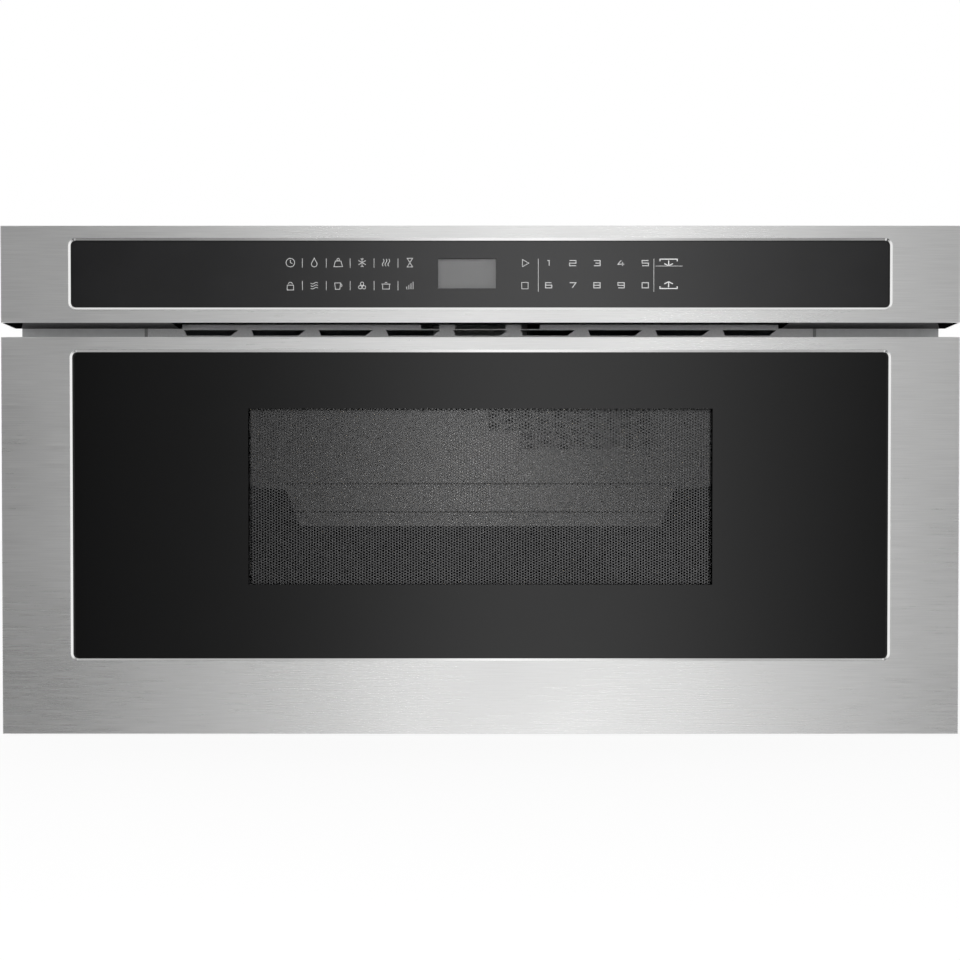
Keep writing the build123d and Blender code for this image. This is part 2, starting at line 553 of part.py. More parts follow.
# ================================================================ electrics on the base plate
TRANSFORMER_X, TRANSFORMER_Y = -255.0, BACK - 75.0
core_width, core_depth, core_height = 104.0, 62.0, 88.0
leg = 17.0
core_window_width = (core_width - 4 * leg) / 2
core_window_height = core_height - 2 * leg
foot_reach, foot = 14.0, 2.0
with BuildPart() as transformer_core:
    with BuildSketch(facing(TRANSFORMER_Y + core_depth / 2)):
        with Locations((TRANSFORMER_X, FLOOR_TOP + core_height / 2)):
            Rectangle(core_width, core_height)
            with GridLocations(core_window_width + 2 * leg, 0, 2, 1):
                Rectangle(core_window_width, core_window_height, mode=Mode.SUBTRACT)
    extrude(amount=core_depth)
    # welded feet
    with BuildSketch(Plane.XY.offset(FLOOR_TOP)):
        with Locations((TRANSFORMER_X, TRANSFORMER_Y)):
            Rectangle(core_width, core_depth + 2 * foot_reach)
    extrude(amount=foot)
save(transformer_core, "transformer_core")

coil_gap = 2.0
coil_height = (core_window_height - 3 * coil_gap) / 2
with BuildPart() as transformer_coils:
    for level in range(2):
        z = FLOOR_TOP + leg + coil_gap + level * (coil_height + coil_gap)
        with BuildSketch(Plane.XY.offset(z)):
            with Locations((TRANSFORMER_X, TRANSFORMER_Y)):
                coil = Rectangle(2 * (leg + core_window_width) - 1, core_depth + 2 * core_window_width - 1)
                chamfer(coil.vertices(), length=(core_window_width - 1) / 2)
                Rectangle(2 * leg + SEAT, core_depth + SEAT, mode=Mode.SUBTRACT)
        extrude(amount=coil_height)
save(transformer_coils, "transformer_coils")

CAPACITOR_X, CAPACITOR_Y = -150.0, BACK - 67.0
capacitor_length, capacitor_width, capacitor_height = 54.0, 34.0, 92.0
capacitor_bottom = FLOOR_TOP + 4.0
capacitor_top = capacitor_bottom + capacitor_height
terminal_spacing, terminal_height = 24.0, 6.0
strap, strap_z, strap_height, strap_foot = 1.2, FLOOR_TOP + 40.0, 18.0, 16.0


def can_outline(grow, mode=Mode.ADD):
    """The capacitor's oval in plan, with seven corners round each end, grown by some distance."""
    radius = capacitor_width / 2 + grow
    straight = (capacitor_length - capacitor_width) / 2
    right = [(straight + radius * cos(radians(turn)), radius * sin(radians(turn)))
             for turn in range(-90, 91, 30)]
    Polygon(*right, *[(-x, -y) for x, y in right], align=None, mode=mode)


with BuildPart() as hv_capacitor:
    with BuildSketch(Plane.XY.offset(capacitor_bottom)):
        with Locations((CAPACITOR_X, CAPACITOR_Y)):
            can_outline(0)
    extrude(amount=capacitor_height)
    with BuildSketch(Plane.XY.offset(capacitor_top)):
        with Locations((CAPACITOR_X, CAPACITOR_Y)):
            with GridLocations(terminal_spacing, 0, 2, 1):
                RegularPolygon(5, 6)
    extrude(amount=terminal_height)
    with Locations((CAPACITOR_X, CAPACITOR_Y, capacitor_top + terminal_height + 3)):
        with GridLocations(terminal_spacing, 0, 2, 1):
            Box(6.3, 0.8, 8)

    # strap and foot that hold it on the base plate
    with BuildSketch(Plane.XY.offset(strap_z)):
        with Locations((CAPACITOR_X, CAPACITOR_Y)):
            can_outline(strap)
            can_outline(0, mode=Mode.SUBTRACT)
    extrude(amount=strap_height)
    clamp_x = (CAPACITOR_X - 8, CAPACITOR_X + 8)
    clamp_y = CAPACITOR_Y + capacitor_width / 2
    block(clamp_x, (clamp_y, clamp_y + strap), (FLOOR_TOP, strap_z + strap_height))
    block(clamp_x, (clamp_y + strap, clamp_y + strap_foot), (FLOOR_TOP, FLOOR_TOP + strap))
save(hv_capacitor, "hv_capacitor")

FILTER_X, FILTER_Y = 120.0, BACK - 80.0
FILTER_LENGTH, FILTER_WIDTH, FILTER_POSTS = 90.0, 60.0, 8.0
filter_top = FLOOR_TOP + FILTER_POSTS + board
with BuildPart() as line_filter:
    with BuildSketch(Plane.XY.offset(FLOOR_TOP)):
        with Locations((FILTER_X, FILTER_Y)):
            with GridLocations(FILTER_LENGTH - 12, FILTER_WIDTH - 12, 2, 2):
                RegularPolygon(post_r, 6)
    extrude(amount=FILTER_POSTS)
    with Locations((FILTER_X, FILTER_Y, filter_top - board / 2)):
        Box(FILTER_LENGTH, FILTER_WIDTH, board)
    block((FILTER_X - 34, FILTER_X - 8), (FILTER_Y - 18, FILTER_Y + 14), (filter_top, filter_top + 16))
    with BuildSketch(Plane.XY.offset(filter_top)):
        with Locations((FILTER_X + 18, FILTER_Y)):
            RegularPolygon(15, 12)
    extrude(amount=18)
    block((FILTER_X - 34, FILTER_X - 14), (FILTER_Y + 18, FILTER_Y + 26), (filter_top, filter_top + 9))
save(line_filter, "line_filter")

# ================================================================ cooling
fan_frame_depth = 38.0
fan_front = BODY_BACK - fan_frame_depth
fan_plane = Plane(origin=(FAN_X, fan_front, FAN_Z), x_dir=(1, 0, 0), z_dir=(0, 1, 0))
fan_motor_r, fan_motor_depth, fan_pin_r = 19.0, 16.0, 2.5
fan_bore = FAN_R + 2.5
fan_spider = 3.0            # thickness of the spider that carries the motor
with BuildPart(fan_plane) as fan_housing:
    with BuildSketch(fan_plane):
        frame = Rectangle(FAN_FRAME, FAN_FRAME)
        chamfer(frame.vertices(), length=6)
        RegularPolygon(fan_bore, 24, mode=Mode.SUBTRACT)
    extrude(amount=fan_frame_depth)
    with BuildSketch(fan_plane):
        RegularPolygon(fan_motor_r, 16)
        with PolarLocations((fan_motor_r + fan_bore) / 2, 3, start_angle=90):
            Rectangle(fan_bore - fan_motor_r + 4, 6)
    extrude(amount=fan_spider)
save(fan_housing, "fan_housing")

fan_pin_length = 30.0
with BuildPart(fan_plane.offset(fan_spider)) as fan_motor:
    with BuildSketch(fan_plane.offset(fan_spider)):
        RegularPolygon(fan_motor_r - 3, 16)
    extrude(amount=fan_motor_depth)
    with Locations((0, 0, fan_pin_length / 2)):
        Cylinder(fan_pin_r, fan_pin_length)
save(fan_motor, "fan_motor")

# The hub is a cup over the motor. Each blade is a flat scoop of sheet, wider and curved at its tip.
hub_front, hub_back, hub_web, hub_r = 4.5, 34.5, 22.0, fan_motor_r
blade_mid = (hub_front + hub_back) / 2
blade, blade_pitch, root_half, tip_half, tip_bow = 1.6, 38.0, 13.0, 19.0, 5.0
blade_plane = Plane(origin=(0, 0, blade_mid), x_dir=(1, 0, 0), z_dir=(0, 0, 1)).rotated((blade_pitch, 0, 0))
with BuildPart() as fan_blade:
    with BuildSketch(blade_plane.offset(-blade / 2)):
        with BuildLine():
            tip_x = FAN_R - tip_bow - 3.0
            Polyline((tip_x, -tip_half), (hub_r - 2, -root_half), (hub_r - 2, root_half), (tip_x, tip_half))
            ThreePointArc((tip_x, tip_half), (tip_x + tip_bow, 0), (tip_x, -tip_half))
        make_face()
    extrude(amount=blade)
with BuildPart(fan_plane) as cooling_fan:
    with BuildSketch(fan_plane.offset(hub_front)):
        RegularPolygon(hub_r, 20)
    extrude(amount=hub_back - hub_front)
    with PolarLocations(0, 5):
        add(fan_blade.part)
    with BuildSketch(fan_plane.offset(hub_front)):
        RegularPolygon(hub_r - 2, 20)
    extrude(amount=hub_web - hub_front, mode=Mode.SUBTRACT)
    with Locations((0, 0, (hub_back + hub_web) / 2)):
        Cylinder(fan_pin_r + RUNNING_FIT, hub_back - hub_web, mode=Mode.SUBTRACT)
save(cooling_fan, "cooling_fan")

# Duct that carries the fan's air sideways to the magnetron.
duct_wall = 1.5
DUCT_X = (MAGNETRON_HALF_X + 2.0, FAN_X + FAN_FRAME / 2)
DUCT_Y = (CAVITY_BACK + SHEET + 6.0, fan_front)
DUCT_Z = (FAN_Z - FAN_FRAME / 2, yoke_top - 1.0)
with BuildPart() as air_duct:
    block(DUCT_X, DUCT_Y, DUCT_Z)
    block((DUCT_X[0], DUCT_X[1] - duct_wall), (DUCT_Y[0] + duct_wall, DUCT_Y[1] - duct_wall),
          (DUCT_Z[0] + duct_wall, DUCT_Z[1] - duct_wall), mode=Mode.SUBTRACT)
    with BuildSketch(facing(fan_front)):
        with Locations((FAN_X, FAN_Z)):
            RegularPolygon(fan_bore, 24)
    extrude(amount=duct_wall, mode=Mode.SUBTRACT)
save(air_duct, "air_duct")

# Front duct over the cavity: the air leaves through the grille.
exhaust_back = BODY_FRONT + 62.0
exhaust_x = GRILLE_HALF - 8.0
exhaust_z = (GRILLE_Z[0] - 3.0, GRILLE_Z[1] + 12.0)
with BuildPart() as exhaust_duct:
    with BuildSketch(facing(exhaust_back)):
        with Locations((0, sum(exhaust_z) / 2)):
            Rectangle(2 * exhaust_x, exhaust_z[1] - exhaust_z[0])
            Rectangle(2 * (exhaust_x - duct_wall), exhaust_z[1] - exhaust_z[0] - 2 * duct_wall,
                      mode=Mode.SUBTRACT)
    extrude(amount=exhaust_back - grille_back)
    # two feet rest on the cavity's ceiling
    for sign in (-1, 1):
        block(mirrored(sign, HALF_CAVITY - 24, HALF_CAVITY - 4), (exhaust_back - 20, exhaust_back),
              (CAVITY_CEILING + SHEET, exhaust_z[0]))
save(exhaust_duct, "exhaust_duct")

LAMP_X, LAMP_Z = -150.0, 257.0
lamp_plate = 1.5
lamp_y = CAVITY_BACK + SHEET
bulb_r, bulb_length = 8.5, 22.0
lamp_strap_x, lamp_strap, lamp_strap_depth = 20.0, 2.0, 30.0
with BuildPart() as oven_lamp:
    with BuildSketch(facing(lamp_y + lamp_plate)):
        with Locations((LAMP_X, LAMP_Z)):
            Rectangle(44, 40)
            RegularPolygon(15, 12, mode=Mode.SUBTRACT)
    extrude(amount=lamp_plate)
    # a strap bridges the plate and carries the socket with the bulb
    strap_back = lamp_y + lamp_strap_depth
    for sign in (-1, 1):
        strap_x = [LAMP_X + x for x in mirrored(sign, lamp_strap_x - lamp_strap, lamp_strap_x)]
        block(strap_x, (lamp_y + lamp_plate, strap_back), (LAMP_Z - bulb_r, LAMP_Z + bulb_r))
    block((LAMP_X - lamp_strap_x, LAMP_X + lamp_strap_x), (strap_back - lamp_strap, strap_back),
          (LAMP_Z - bulb_r, LAMP_Z + bulb_r))
    block((LAMP_X - bulb_r, LAMP_X + bulb_r), (strap_back - 4, strap_back + 8), (LAMP_Z - 6, LAMP_Z + 6))
    with BuildSketch(facing(strap_back)):
        with Locations((LAMP_X, LAMP_Z)):
            RegularPolygon(bulb_r, 12)
    extrude(amount=bulb_length - bulb_r / 2)
    with BuildSketch(facing(strap_back - bulb_length + bulb_r / 2)):
        with Locations((LAMP_X, LAMP_Z)):
            RegularPolygon(bulb_r, 12)
    extrude(amount=bulb_r / 2, taper=40)
save(oven_lamp, "oven_lamp")

# ================================================================ drawer drive
def gear_profile(module, teeth, first_tooth):
    """A spur gear's outline about the origin, one tooth centred on first_tooth degrees."""
    pitch_r = module * teeth / 2
    base_r = pitch_r * cos(PRESSURE_ANGLE)
    tip_r, root_r = pitch_r + module, pitch_r - 1.25 * module
    half_at_pitch = (pi * module / 2 - TOOTH_THINNING) / (2 * pitch_r)
    half_at_base = half_at_pitch + tan(PRESSURE_ANGLE) - PRESSURE_ANGLE
    start_r = max(base_r, root_r)

    def on_flank(radius, side, middle):
        """The point of a tooth's involute flank at this radius."""
        roll = acos(min(1, base_r / radius))
        return Vector(radius, 0).rotate(Axis.Z, degrees(middle + side * (half_at_base - tan(roll) + roll)))

    def at_root(side, middle):
        return Vector(root_r, 0).rotate(Axis.Z, degrees(middle + side * half_at_base))

    with BuildSketch(mode=Mode.PRIVATE) as profile:
        with BuildLine():
            for tooth in range(teeth):
                middle = radians(first_tooth) + tooth * 2 * pi / teeth
                next_middle = middle + 2 * pi / teeth
                near, far = [[on_flank(r, side, middle) for r in (start_r, (start_r + tip_r) / 2, tip_r)]
                             for side in (-1, 1)]
                Line(at_root(-1, middle), near[0])
                Polyline(*near)
                Line(near[2], far[2])
                Polyline(*far[::-1])
                Line(far[0], at_root(1, middle))
                Line(at_root(1, middle), at_root(-1, next_middle))
        make_face()
    return profile.sketch


PINION_R = GEAR_MODULE * PINION_TEETH / 2
rack_width = 11.0
pinion_x = ARM_X - rack_width
hub_length = 7.0
shaft_half = ARM_X + 4.0
shaft_plane = Plane.YZ.shift_origin((0, SHAFT_Y, SHAFT_Z))

with BuildPart(shaft_plane) as drive_shaft:
    Cylinder(SHAFT_R, 2 * shaft_half)
save(drive_shaft, "drive_shaft")

key_fit = 0.02
with BuildPart() as drive_pinions:
    for sign in (-1, 1):
        with BuildSketch(shaft_plane.offset(sign * pinion_x)):
            add(gear_profile(GEAR_MODULE, PINION_TEETH, 90))
        extrude(amount=sign * PINION_WIDTH)
        with BuildSketch(shaft_plane.offset(sign * pinion_x)):
            RegularPolygon(PINION_R / 2, 16)
        extrude(amount=-sign * hub_length)
    with BuildSketch(shaft_plane.offset(-shaft_half)):
        Circle(SHAFT_R + key_fit)
    extrude(amount=2 * shaft_half, mode=Mode.SUBTRACT)
save(drive_pinions, "drive_pinions")

# The gearbox's hollow output turns the shaft; the motor lies along it, further back.
GEARBOX_X = ARM_X - 124.0
gearbox_depth, gearbox_height = 26.0, 46.0
gearbox_y = (SHAFT_Y - 17.0, SHAFT_Y + 63.0)
motor_r, motor_length, motor_offset = 18.0, 52.0, 40.0
with BuildPart() as drive_motor:
    block((GEARBOX_X, GEARBOX_X + gearbox_depth), gearbox_y,
          (SHAFT_Z - gearbox_height / 2, SHAFT_Z + gearbox_height / 2))
    chamfer(drive_motor.edges().filter_by(Axis.X), length=5)
    with BuildSketch(shaft_plane.offset(GEARBOX_X)):
        Circle(SHAFT_R + RUNNING_FIT)
    extrude(amount=gearbox_depth, mode=Mode.SUBTRACT)
    with BuildSketch(shaft_plane.offset(GEARBOX_X + gearbox_depth)):
        with Locations((motor_offset, 0)):
            RegularPolygon(motor_r, 16)
    extrude(amount=motor_length)
save(drive_motor, "drive_motor")

# Bearing blocks on the base plate carry the shaft just inside the pinions, and a folded bracket the motor.
bracket_sheet = 2.0
bracket_foot = FLOOR_TOP - SHAFT_Z          # height of the base plate's top from the shaft
bearing_r, bearing_width, bearing_base, bearing_base_height = 10.0, 9.0, 44.0, 4.0
gearbox_width = gearbox_y[1] - gearbox_y[0]
gearbox_mid = sum(gearbox_y) / 2 - SHAFT_Y
bearing_x = pinion_x - hub_length - 1.0
with BuildPart() as drive_brackets:
    for sign in (-1, 1):
        with BuildSketch(shaft_plane.offset(sign * bearing_x)):
            RegularPolygon(bearing_r, 16)
            with Locations((0, bracket_foot / 2)):
                Rectangle(2 * bearing_r, -bracket_foot)
            with Locations((0, bracket_foot + bearing_base_height / 2)):
                Rectangle(bearing_base, bearing_base_height)
            Circle(SHAFT_R + RUNNING_FIT, mode=Mode.SUBTRACT)
        extrude(amount=-sign * bearing_width)
    with BuildSketch(shaft_plane.offset(GEARBOX_X - bracket_sheet)):
        with Locations((gearbox_mid, (bracket_foot + gearbox_height / 2) / 2)):
            Rectangle(gearbox_width, gearbox_height / 2 - bracket_foot)
        RegularPolygon(3 * SHAFT_R, 12, mode=Mode.SUBTRACT)
    extrude(amount=bracket_sheet)
    block((GEARBOX_X, GEARBOX_X + 22), gearbox_y, (FLOOR_TOP, FLOOR_TOP + bracket_sheet))
save(drive_brackets, "drive_brackets")

# ================================================================ slides, arms and racks
SLIDE_FRONT = FLANGE_FRONT + 8.0
slide_back = SLIDE_FRONT + SLIDE_LENGTH
gauge = 1.2
# Each channel's centre line: how far its web and lips stand from the arm, and its half height.
OUTER = dict(web=SLIDE_THICKNESS - gauge / 2, tip=2.8, half=SLIDE_HEIGHT / 2 - gauge / 2, lip=2.2)
MIDDLE = dict(web=SLIDE_THICKNESS - 2.2, tip=1.8, half=15.4, lip=1.9)
INNER = dict(web=gauge / 2, tip=8.4, half=10.4, lip=0.0)


def channel(section, sign, front, back):
    """A rolled steel channel of one slide, extruded from front to back on one side of the drawer."""
    def across(distance):
        return sign * (ARM_X + ARM + distance)
    web, tip, half, lip = section["web"], section["tip"], section["half"], section["lip"]
    upper = [(across(tip), SLIDE_Z + half), (across(web), SLIDE_Z + half)]
    if lip:
        upper.insert(0, (across(tip), SLIDE_Z + half - lip))
    lower = [(x, 2 * SLIDE_Z - z) for x, z in reversed(upper)]
    with BuildPart() as rail:
        with BuildSketch(facing(back)):
            with BuildLine():
                Polyline(*upper, *lower)
            trace(line_width=gauge)
        extrude(amount=back - front)
    return rail


rack_addendum, rack_dedendum = GEAR_MODULE, 1.25 * GEAR_MODULE
rack_line = SHAFT_Z + PINION_R
rack_pitch = pi * GEAR_MODULE
rack_top = rack_line + 12.0
rack_front = SHAFT_Y - 2.5 * rack_pitch
rack_teeth = int(TRAVEL / rack_pitch) + 6
arm_back = slide_back - 6.0
arm_z = (rack_top - 9.0, SLIDE_Z + 28.0)
panel_front = FRONT + 15.0                   # inner door panel's sheet
arm_front = panel_front + SHEET
arm_foot = 22.0

with BuildPart() as slide_outers:
    for sign in (-1, 1):
        add(channel(OUTER, sign, SLIDE_FRONT, slide_back).part)
save(slide_outers, "slide_outers")

with BuildPart() as slide_inners:
    for sign in (-1, 1):
        add(channel(INNER, sign, SLIDE_FRONT, slide_back).part)
save(slide_inners, "slide_inners")

# The middle member carries its ball retainers: the outer pair near its back, the inner pair near its front,
# so that each retainer stays between two members over the whole travel.
outer_row_z = (OUTER["half"] + MIDDLE["half"]) / 2
inner_row_z = (MIDDLE["half"] + INNER["half"]) / 2
outer_row = OUTER["half"] - MIDDLE["half"] - gauge - 2 * SEAT
inner_row = MIDDLE["half"] - INNER["half"] - gauge - 2 * SEAT
retainer_length = 200.0
retainers = ((outer_row_z, outer_row, 4.5, 8.5, slide_back - 10),
             (inner_row_z, inner_row, 3.5, 6.5, SLIDE_FRONT + 10 + retainer_length))
for side, sign in SIDES:
    with BuildPart() as slide_middle:
        add(channel(MIDDLE, sign, SLIDE_FRONT + 2, slide_back - 2).part)
        for row_z, height, near, far, back in retainers:
            for z in (SLIDE_Z - row_z, SLIDE_Z + row_z):
                block(mirrored(sign, ARM_X + ARM + near, ARM_X + ARM + far), (back - retainer_length, back),
                      (z - height / 2, z + height / 2))
    save(slide_middle, f"slide_middle_{side}")

# Rail arms: plates behind the door, each with a front foot, that carry the inner members and the racks.
with BuildPart() as rail_arms:
    for sign in (-1, 1):
        block(mirrored(sign, ARM_X, ARM_X + ARM), (arm_front, arm_back), arm_z)
        block(mirrored(sign, ARM_X + ARM, ARM_X + ARM + arm_foot), (arm_front, arm_front + ARM),
              (arm_z[0] + 6, arm_z[1] - 6))
save(rail_arms, "rail_arms")

# Straight racks, teeth down; each pinion's top tooth stands in one of their spaces.
rack_outline = []
half_tooth = (pi * GEAR_MODULE / 2 - TOOTH_THINNING) / 2
lean = tan(PRESSURE_ANGLE)
half_root, half_tip = half_tooth + rack_dedendum * lean, half_tooth - rack_addendum * lean
root_z, tip_z = rack_line + rack_dedendum, rack_line - rack_addendum
for tooth in range(rack_teeth):
    tooth_y = rack_front + tooth * rack_pitch
    rack_outline += [(tooth_y - half_root, root_z), (tooth_y - half_tip, tip_z),
                     (tooth_y + half_tip, tip_z), (tooth_y + half_root, root_z)]
rack_outline += [(rack_outline[-1][0], rack_top), (rack_outline[0][0], rack_top)]
with BuildPart() as drive_racks:
    for sign in (-1, 1):
        with BuildSketch(Plane.YZ.offset(sign * pinion_x)):
            with BuildLine():
                Polyline(*rack_outline, close=True)
            make_face()
        extrude(amount=sign * rack_width)
save(drive_racks, "drive_racks")

# Folded supports stand on the base plate and carry the outer members.
support_x = ARM_X + ARM + SLIDE_THICKNESS
support_top = SLIDE_Z + 26.0
support_y = (SLIDE_FRONT, slide_back)
support = 2.0
support_foot, support_lip = 24.0, 12.0
with BuildPart() as rail_supports:
    for sign in (-1, 1):
        block(mirrored(sign, support_x, support_x + support), support_y, (FLOOR_TOP, support_top))
        block(mirrored(sign, support_x + support, support_x + support + support_foot), support_y,
              (FLOOR_TOP, FLOOR_TOP + support))
        block(mirrored(sign, support_x + support, support_x + support + support_lip), support_y,
              (support_top - support, support_top))
    # lightening holes under the slides
    with BuildSketch(Plane.YZ.offset(-support_x - support)):
        with Locations((sum(support_y) / 2, (FLOOR_TOP + SLIDE_Z - SLIDE_HEIGHT / 2) / 2)):
            with GridLocations(SLIDE_LENGTH / 4, 0, 4, 1):
                Rectangle(70, 36)
    extrude(amount=2 * (support_x + support), mode=Mode.SUBTRACT)
save(rail_supports, "rail_supports")


# ================================================================ drawer front, behind the skin
skin_inner_x = FACE_WIDTH / 2 - SKIN
skin_inner_z = (DRAWER_FRONT_BOTTOM + SKIN, DRAWER_FRONT_TOP - SKIN)
window_mid = (WINDOW_BOTTOM + WINDOW_TOP) / 2
window_height = WINDOW_TOP - WINDOW_BOTTOM
screen_sheet, screen_margin = 0.8, 18.0
with BuildPart() as window_screen:
    with BuildSketch(facing(panel_front)):
        with Locations((0, window_mid)):
            Rectangle(WINDOW_WIDTH + 2 * screen_margin, window_height + 2 * screen_margin)
    extrude(amount=screen_sheet)
save(window_screen, "window_screen")

# Stamped inner panel: a sheet across the skin, a tunnel round the window, stiffening beads.
tunnel_x, tunnel_height, tunnel_corner = WINDOW_WIDTH + 16, window_height + 14, 5.0
door_bead_x, door_bead, door_bead_z = (315, 330), 5.0, (40, 290)
glass_rest = DOOR_BACK - 2.0                 # front of the choke cover's plate
inner_glass_thick, inner_glass_lap = 3.0, 10.0
inner_glass_front = glass_rest - inner_glass_thick
with BuildPart() as door_panel:
    block((-skin_inner_x, skin_inner_x), (panel_front, arm_front), skin_inner_z)
    with BuildSketch(facing(inner_glass_front)):
        with Locations((0, window_mid)):
            RectangleRounded(tunnel_x + 2 * SHEET, tunnel_height + 2 * SHEET, tunnel_corner)
    extrude(amount=inner_glass_front - arm_front)
    with BuildSketch(facing(inner_glass_front)):
        with Locations((0, window_mid)):
            RectangleRounded(tunnel_x, tunnel_height, tunnel_corner - SHEET)
    extrude(amount=inner_glass_front - panel_front, mode=Mode.SUBTRACT)
    for sign in (-1, 1):
        block(mirrored(sign, *door_bead_x), (arm_front, arm_front + door_bead), door_bead_z)
save(door_panel, "door_panel")

with BuildPart() as inner_glass:
    with BuildSketch(facing(glass_rest)):
        with Locations((0, window_mid)):
            RectangleRounded(tunnel_x + 2 * inner_glass_lap, tunnel_height + 2 * inner_glass_lap, 8)
    extrude(amount=inner_glass_thick)
save(inner_glass, "inner_glass")

# Choke: a folded channel round the cavity mouth whose outer wall is slit into fingers.
CHOKE_WIDTH = 18.0
choke_margin = 3.0                           # outside the cavity's mouth
choke_half = HALF_CAVITY + choke_margin + 1.0
choke_low, choke_high = CAVITY_FLOOR - choke_margin, CAVITY_CEILING + choke_margin
choke_back = glass_rest - SEAT
finger_pitch, finger_slit, finger_length = 38.0, 4.0, 14.0
choke_mid, choke_height = (choke_low + choke_high) / 2, choke_high - choke_low
fingers_across = int(2 * choke_half / finger_pitch) + 1
fingers_up = int(choke_height / finger_pitch) + 1
with BuildPart() as choke_ring:
    with BuildSketch(facing(choke_back)):
        with Locations((0, choke_mid)):
            Rectangle(2 * (choke_half + CHOKE_WIDTH), choke_height + 2 * CHOKE_WIDTH)
            Rectangle(2 * choke_half, choke_height, mode=Mode.SUBTRACT)
    extrude(amount=choke_back - arm_front)
    with BuildSketch(facing(choke_back)):
        with Locations((0, choke_mid)):
            Rectangle(2 * (choke_half + CHOKE_WIDTH - SHEET), choke_height + 2 * (CHOKE_WIDTH - SHEET))
            Rectangle(2 * (choke_half + SHEET), choke_height + 2 * SHEET, mode=Mode.SUBTRACT)
    extrude(amount=choke_back - arm_front - SHEET, mode=Mode.SUBTRACT)
    with BuildSketch(facing(choke_back)):
        with Locations((0, choke_mid)):
            with GridLocations(finger_pitch, choke_height + 2 * CHOKE_WIDTH - SHEET, fingers_across, 2):
                Rectangle(finger_slit, 2 * SHEET)
            with GridLocations(2 * (choke_half + CHOKE_WIDTH) - SHEET, finger_pitch, 2, fingers_up):
                Rectangle(2 * SHEET, finger_slit)
    extrude(amount=finger_length, mode=Mode.SUBTRACT)
save(choke_ring, "choke_ring")

cover_x = skin_inner_x - 0.2
cover_z = (skin_inner_z[0] + 0.2, skin_inner_z[1] - 0.2)
cover_mid = sum(cover_z) / 2
cover_rim, cover_rim_depth = 2.5, 10.0
arm_slot = 2.0                               # room for each arm, over its thickness
with BuildPart() as choke_cover:
    with BuildSketch(facing(DOOR_BACK)):
        with Locations((0, cover_mid)):
            Rectangle(2 * cover_x, cover_z[1] - cover_z[0])
        with Locations((0, window_mid)):
            RectangleRounded(tunnel_x, tunnel_height, tunnel_corner, mode=Mode.SUBTRACT)
        with Locations((0, sum(arm_z) / 2)):
            with GridLocations(2 * ARM_X + ARM, 0, 2, 1):
                Rectangle(ARM + arm_slot, arm_z[1] - arm_z[0] + arm_slot, mode=Mode.SUBTRACT)
    extrude(amount=DOOR_BACK - glass_rest)
    with BuildSketch(facing(glass_rest)):
        with Locations((0, cover_mid)):
            Rectangle(2 * cover_x, cover_z[1] - cover_z[0])
            Rectangle(2 * (cover_x - cover_rim), cover_z[1] - cover_z[0] - 2 * cover_rim, mode=Mode.SUBTRACT)
    extrude(amount=cover_rim_depth)
save(choke_cover, "choke_cover")

# ================================================================ tub
tub_bottom = CAVITY_FLOOR + TUB_CLEARANCE
tub_back = CAVITY_BACK - 6.0
tub_length = tub_back - DOOR_BACK
tub_mid_y = (tub_back + DOOR_BACK) / 2
tub_corner, tub_foot = 18.0, 5.0
low_half, shoulder = TUB_WIDTH / 2 - 36.5, 15.0
shelf_gap = 4.0
with BuildPart() as drawer_tub:
    with BuildSketch(Plane.XY.offset(tub_bottom)):
        with Locations((0, tub_mid_y)):
            Rectangle(TUB_WIDTH, tub_length)
    extrude(amount=TUB_SIDE_TOP - tub_bottom)
    fillet(drawer_tub.edges().filter_by(Axis.Z), radius=tub_corner)
    chamfer(drawer_tub.faces().sort_by(Axis.Z)[0].edges(), length=tub_foot)
    offset(amount=-TUB_WALL, openings=drawer_tub.faces().sort_by(Axis.Z)[-1])
    # the rear wall is low in the middle, with slanted shoulders, as the front one is round the window
    with BuildSketch(facing(tub_back)):
        with BuildLine():
            Polyline((-low_half, TUB_LOW_TOP), (low_half, TUB_LOW_TOP), (low_half + shoulder, TUB_SIDE_TOP),
                     (-low_half - shoulder, TUB_SIDE_TOP), close=True)
        make_face()
    extrude(amount=tub_corner, mode=Mode.SUBTRACT)
    with BuildSketch(facing(DOOR_BACK + tub_corner)):
        with Locations((0, TUB_SIDE_TOP)):
            Rectangle(tunnel_x, 2 * (TUB_SIDE_TOP - WINDOW_BOTTOM + 4))
    extrude(amount=tub_corner, mode=Mode.SUBTRACT)
save(drawer_tub, "drawer_tub")

shelf_z = tub_bottom + TUB_WALL
with BuildPart() as cooking_shelf:
    with BuildSketch(Plane.XY.offset(shelf_z)):
        with Locations((0, tub_mid_y)):
            RectangleRounded(TUB_WIDTH - 2 * (TUB_WALL + shelf_gap), tub_length - 2 * (TUB_WALL + shelf_gap),
                             tub_corner - shelf_gap)
    extrude(amount=SHELF)
    chamfer(cooking_shelf.faces().sort_by(Axis.Z)[-1].edges(), length=1)
save(cooking_shelf, "cooking_shelf")

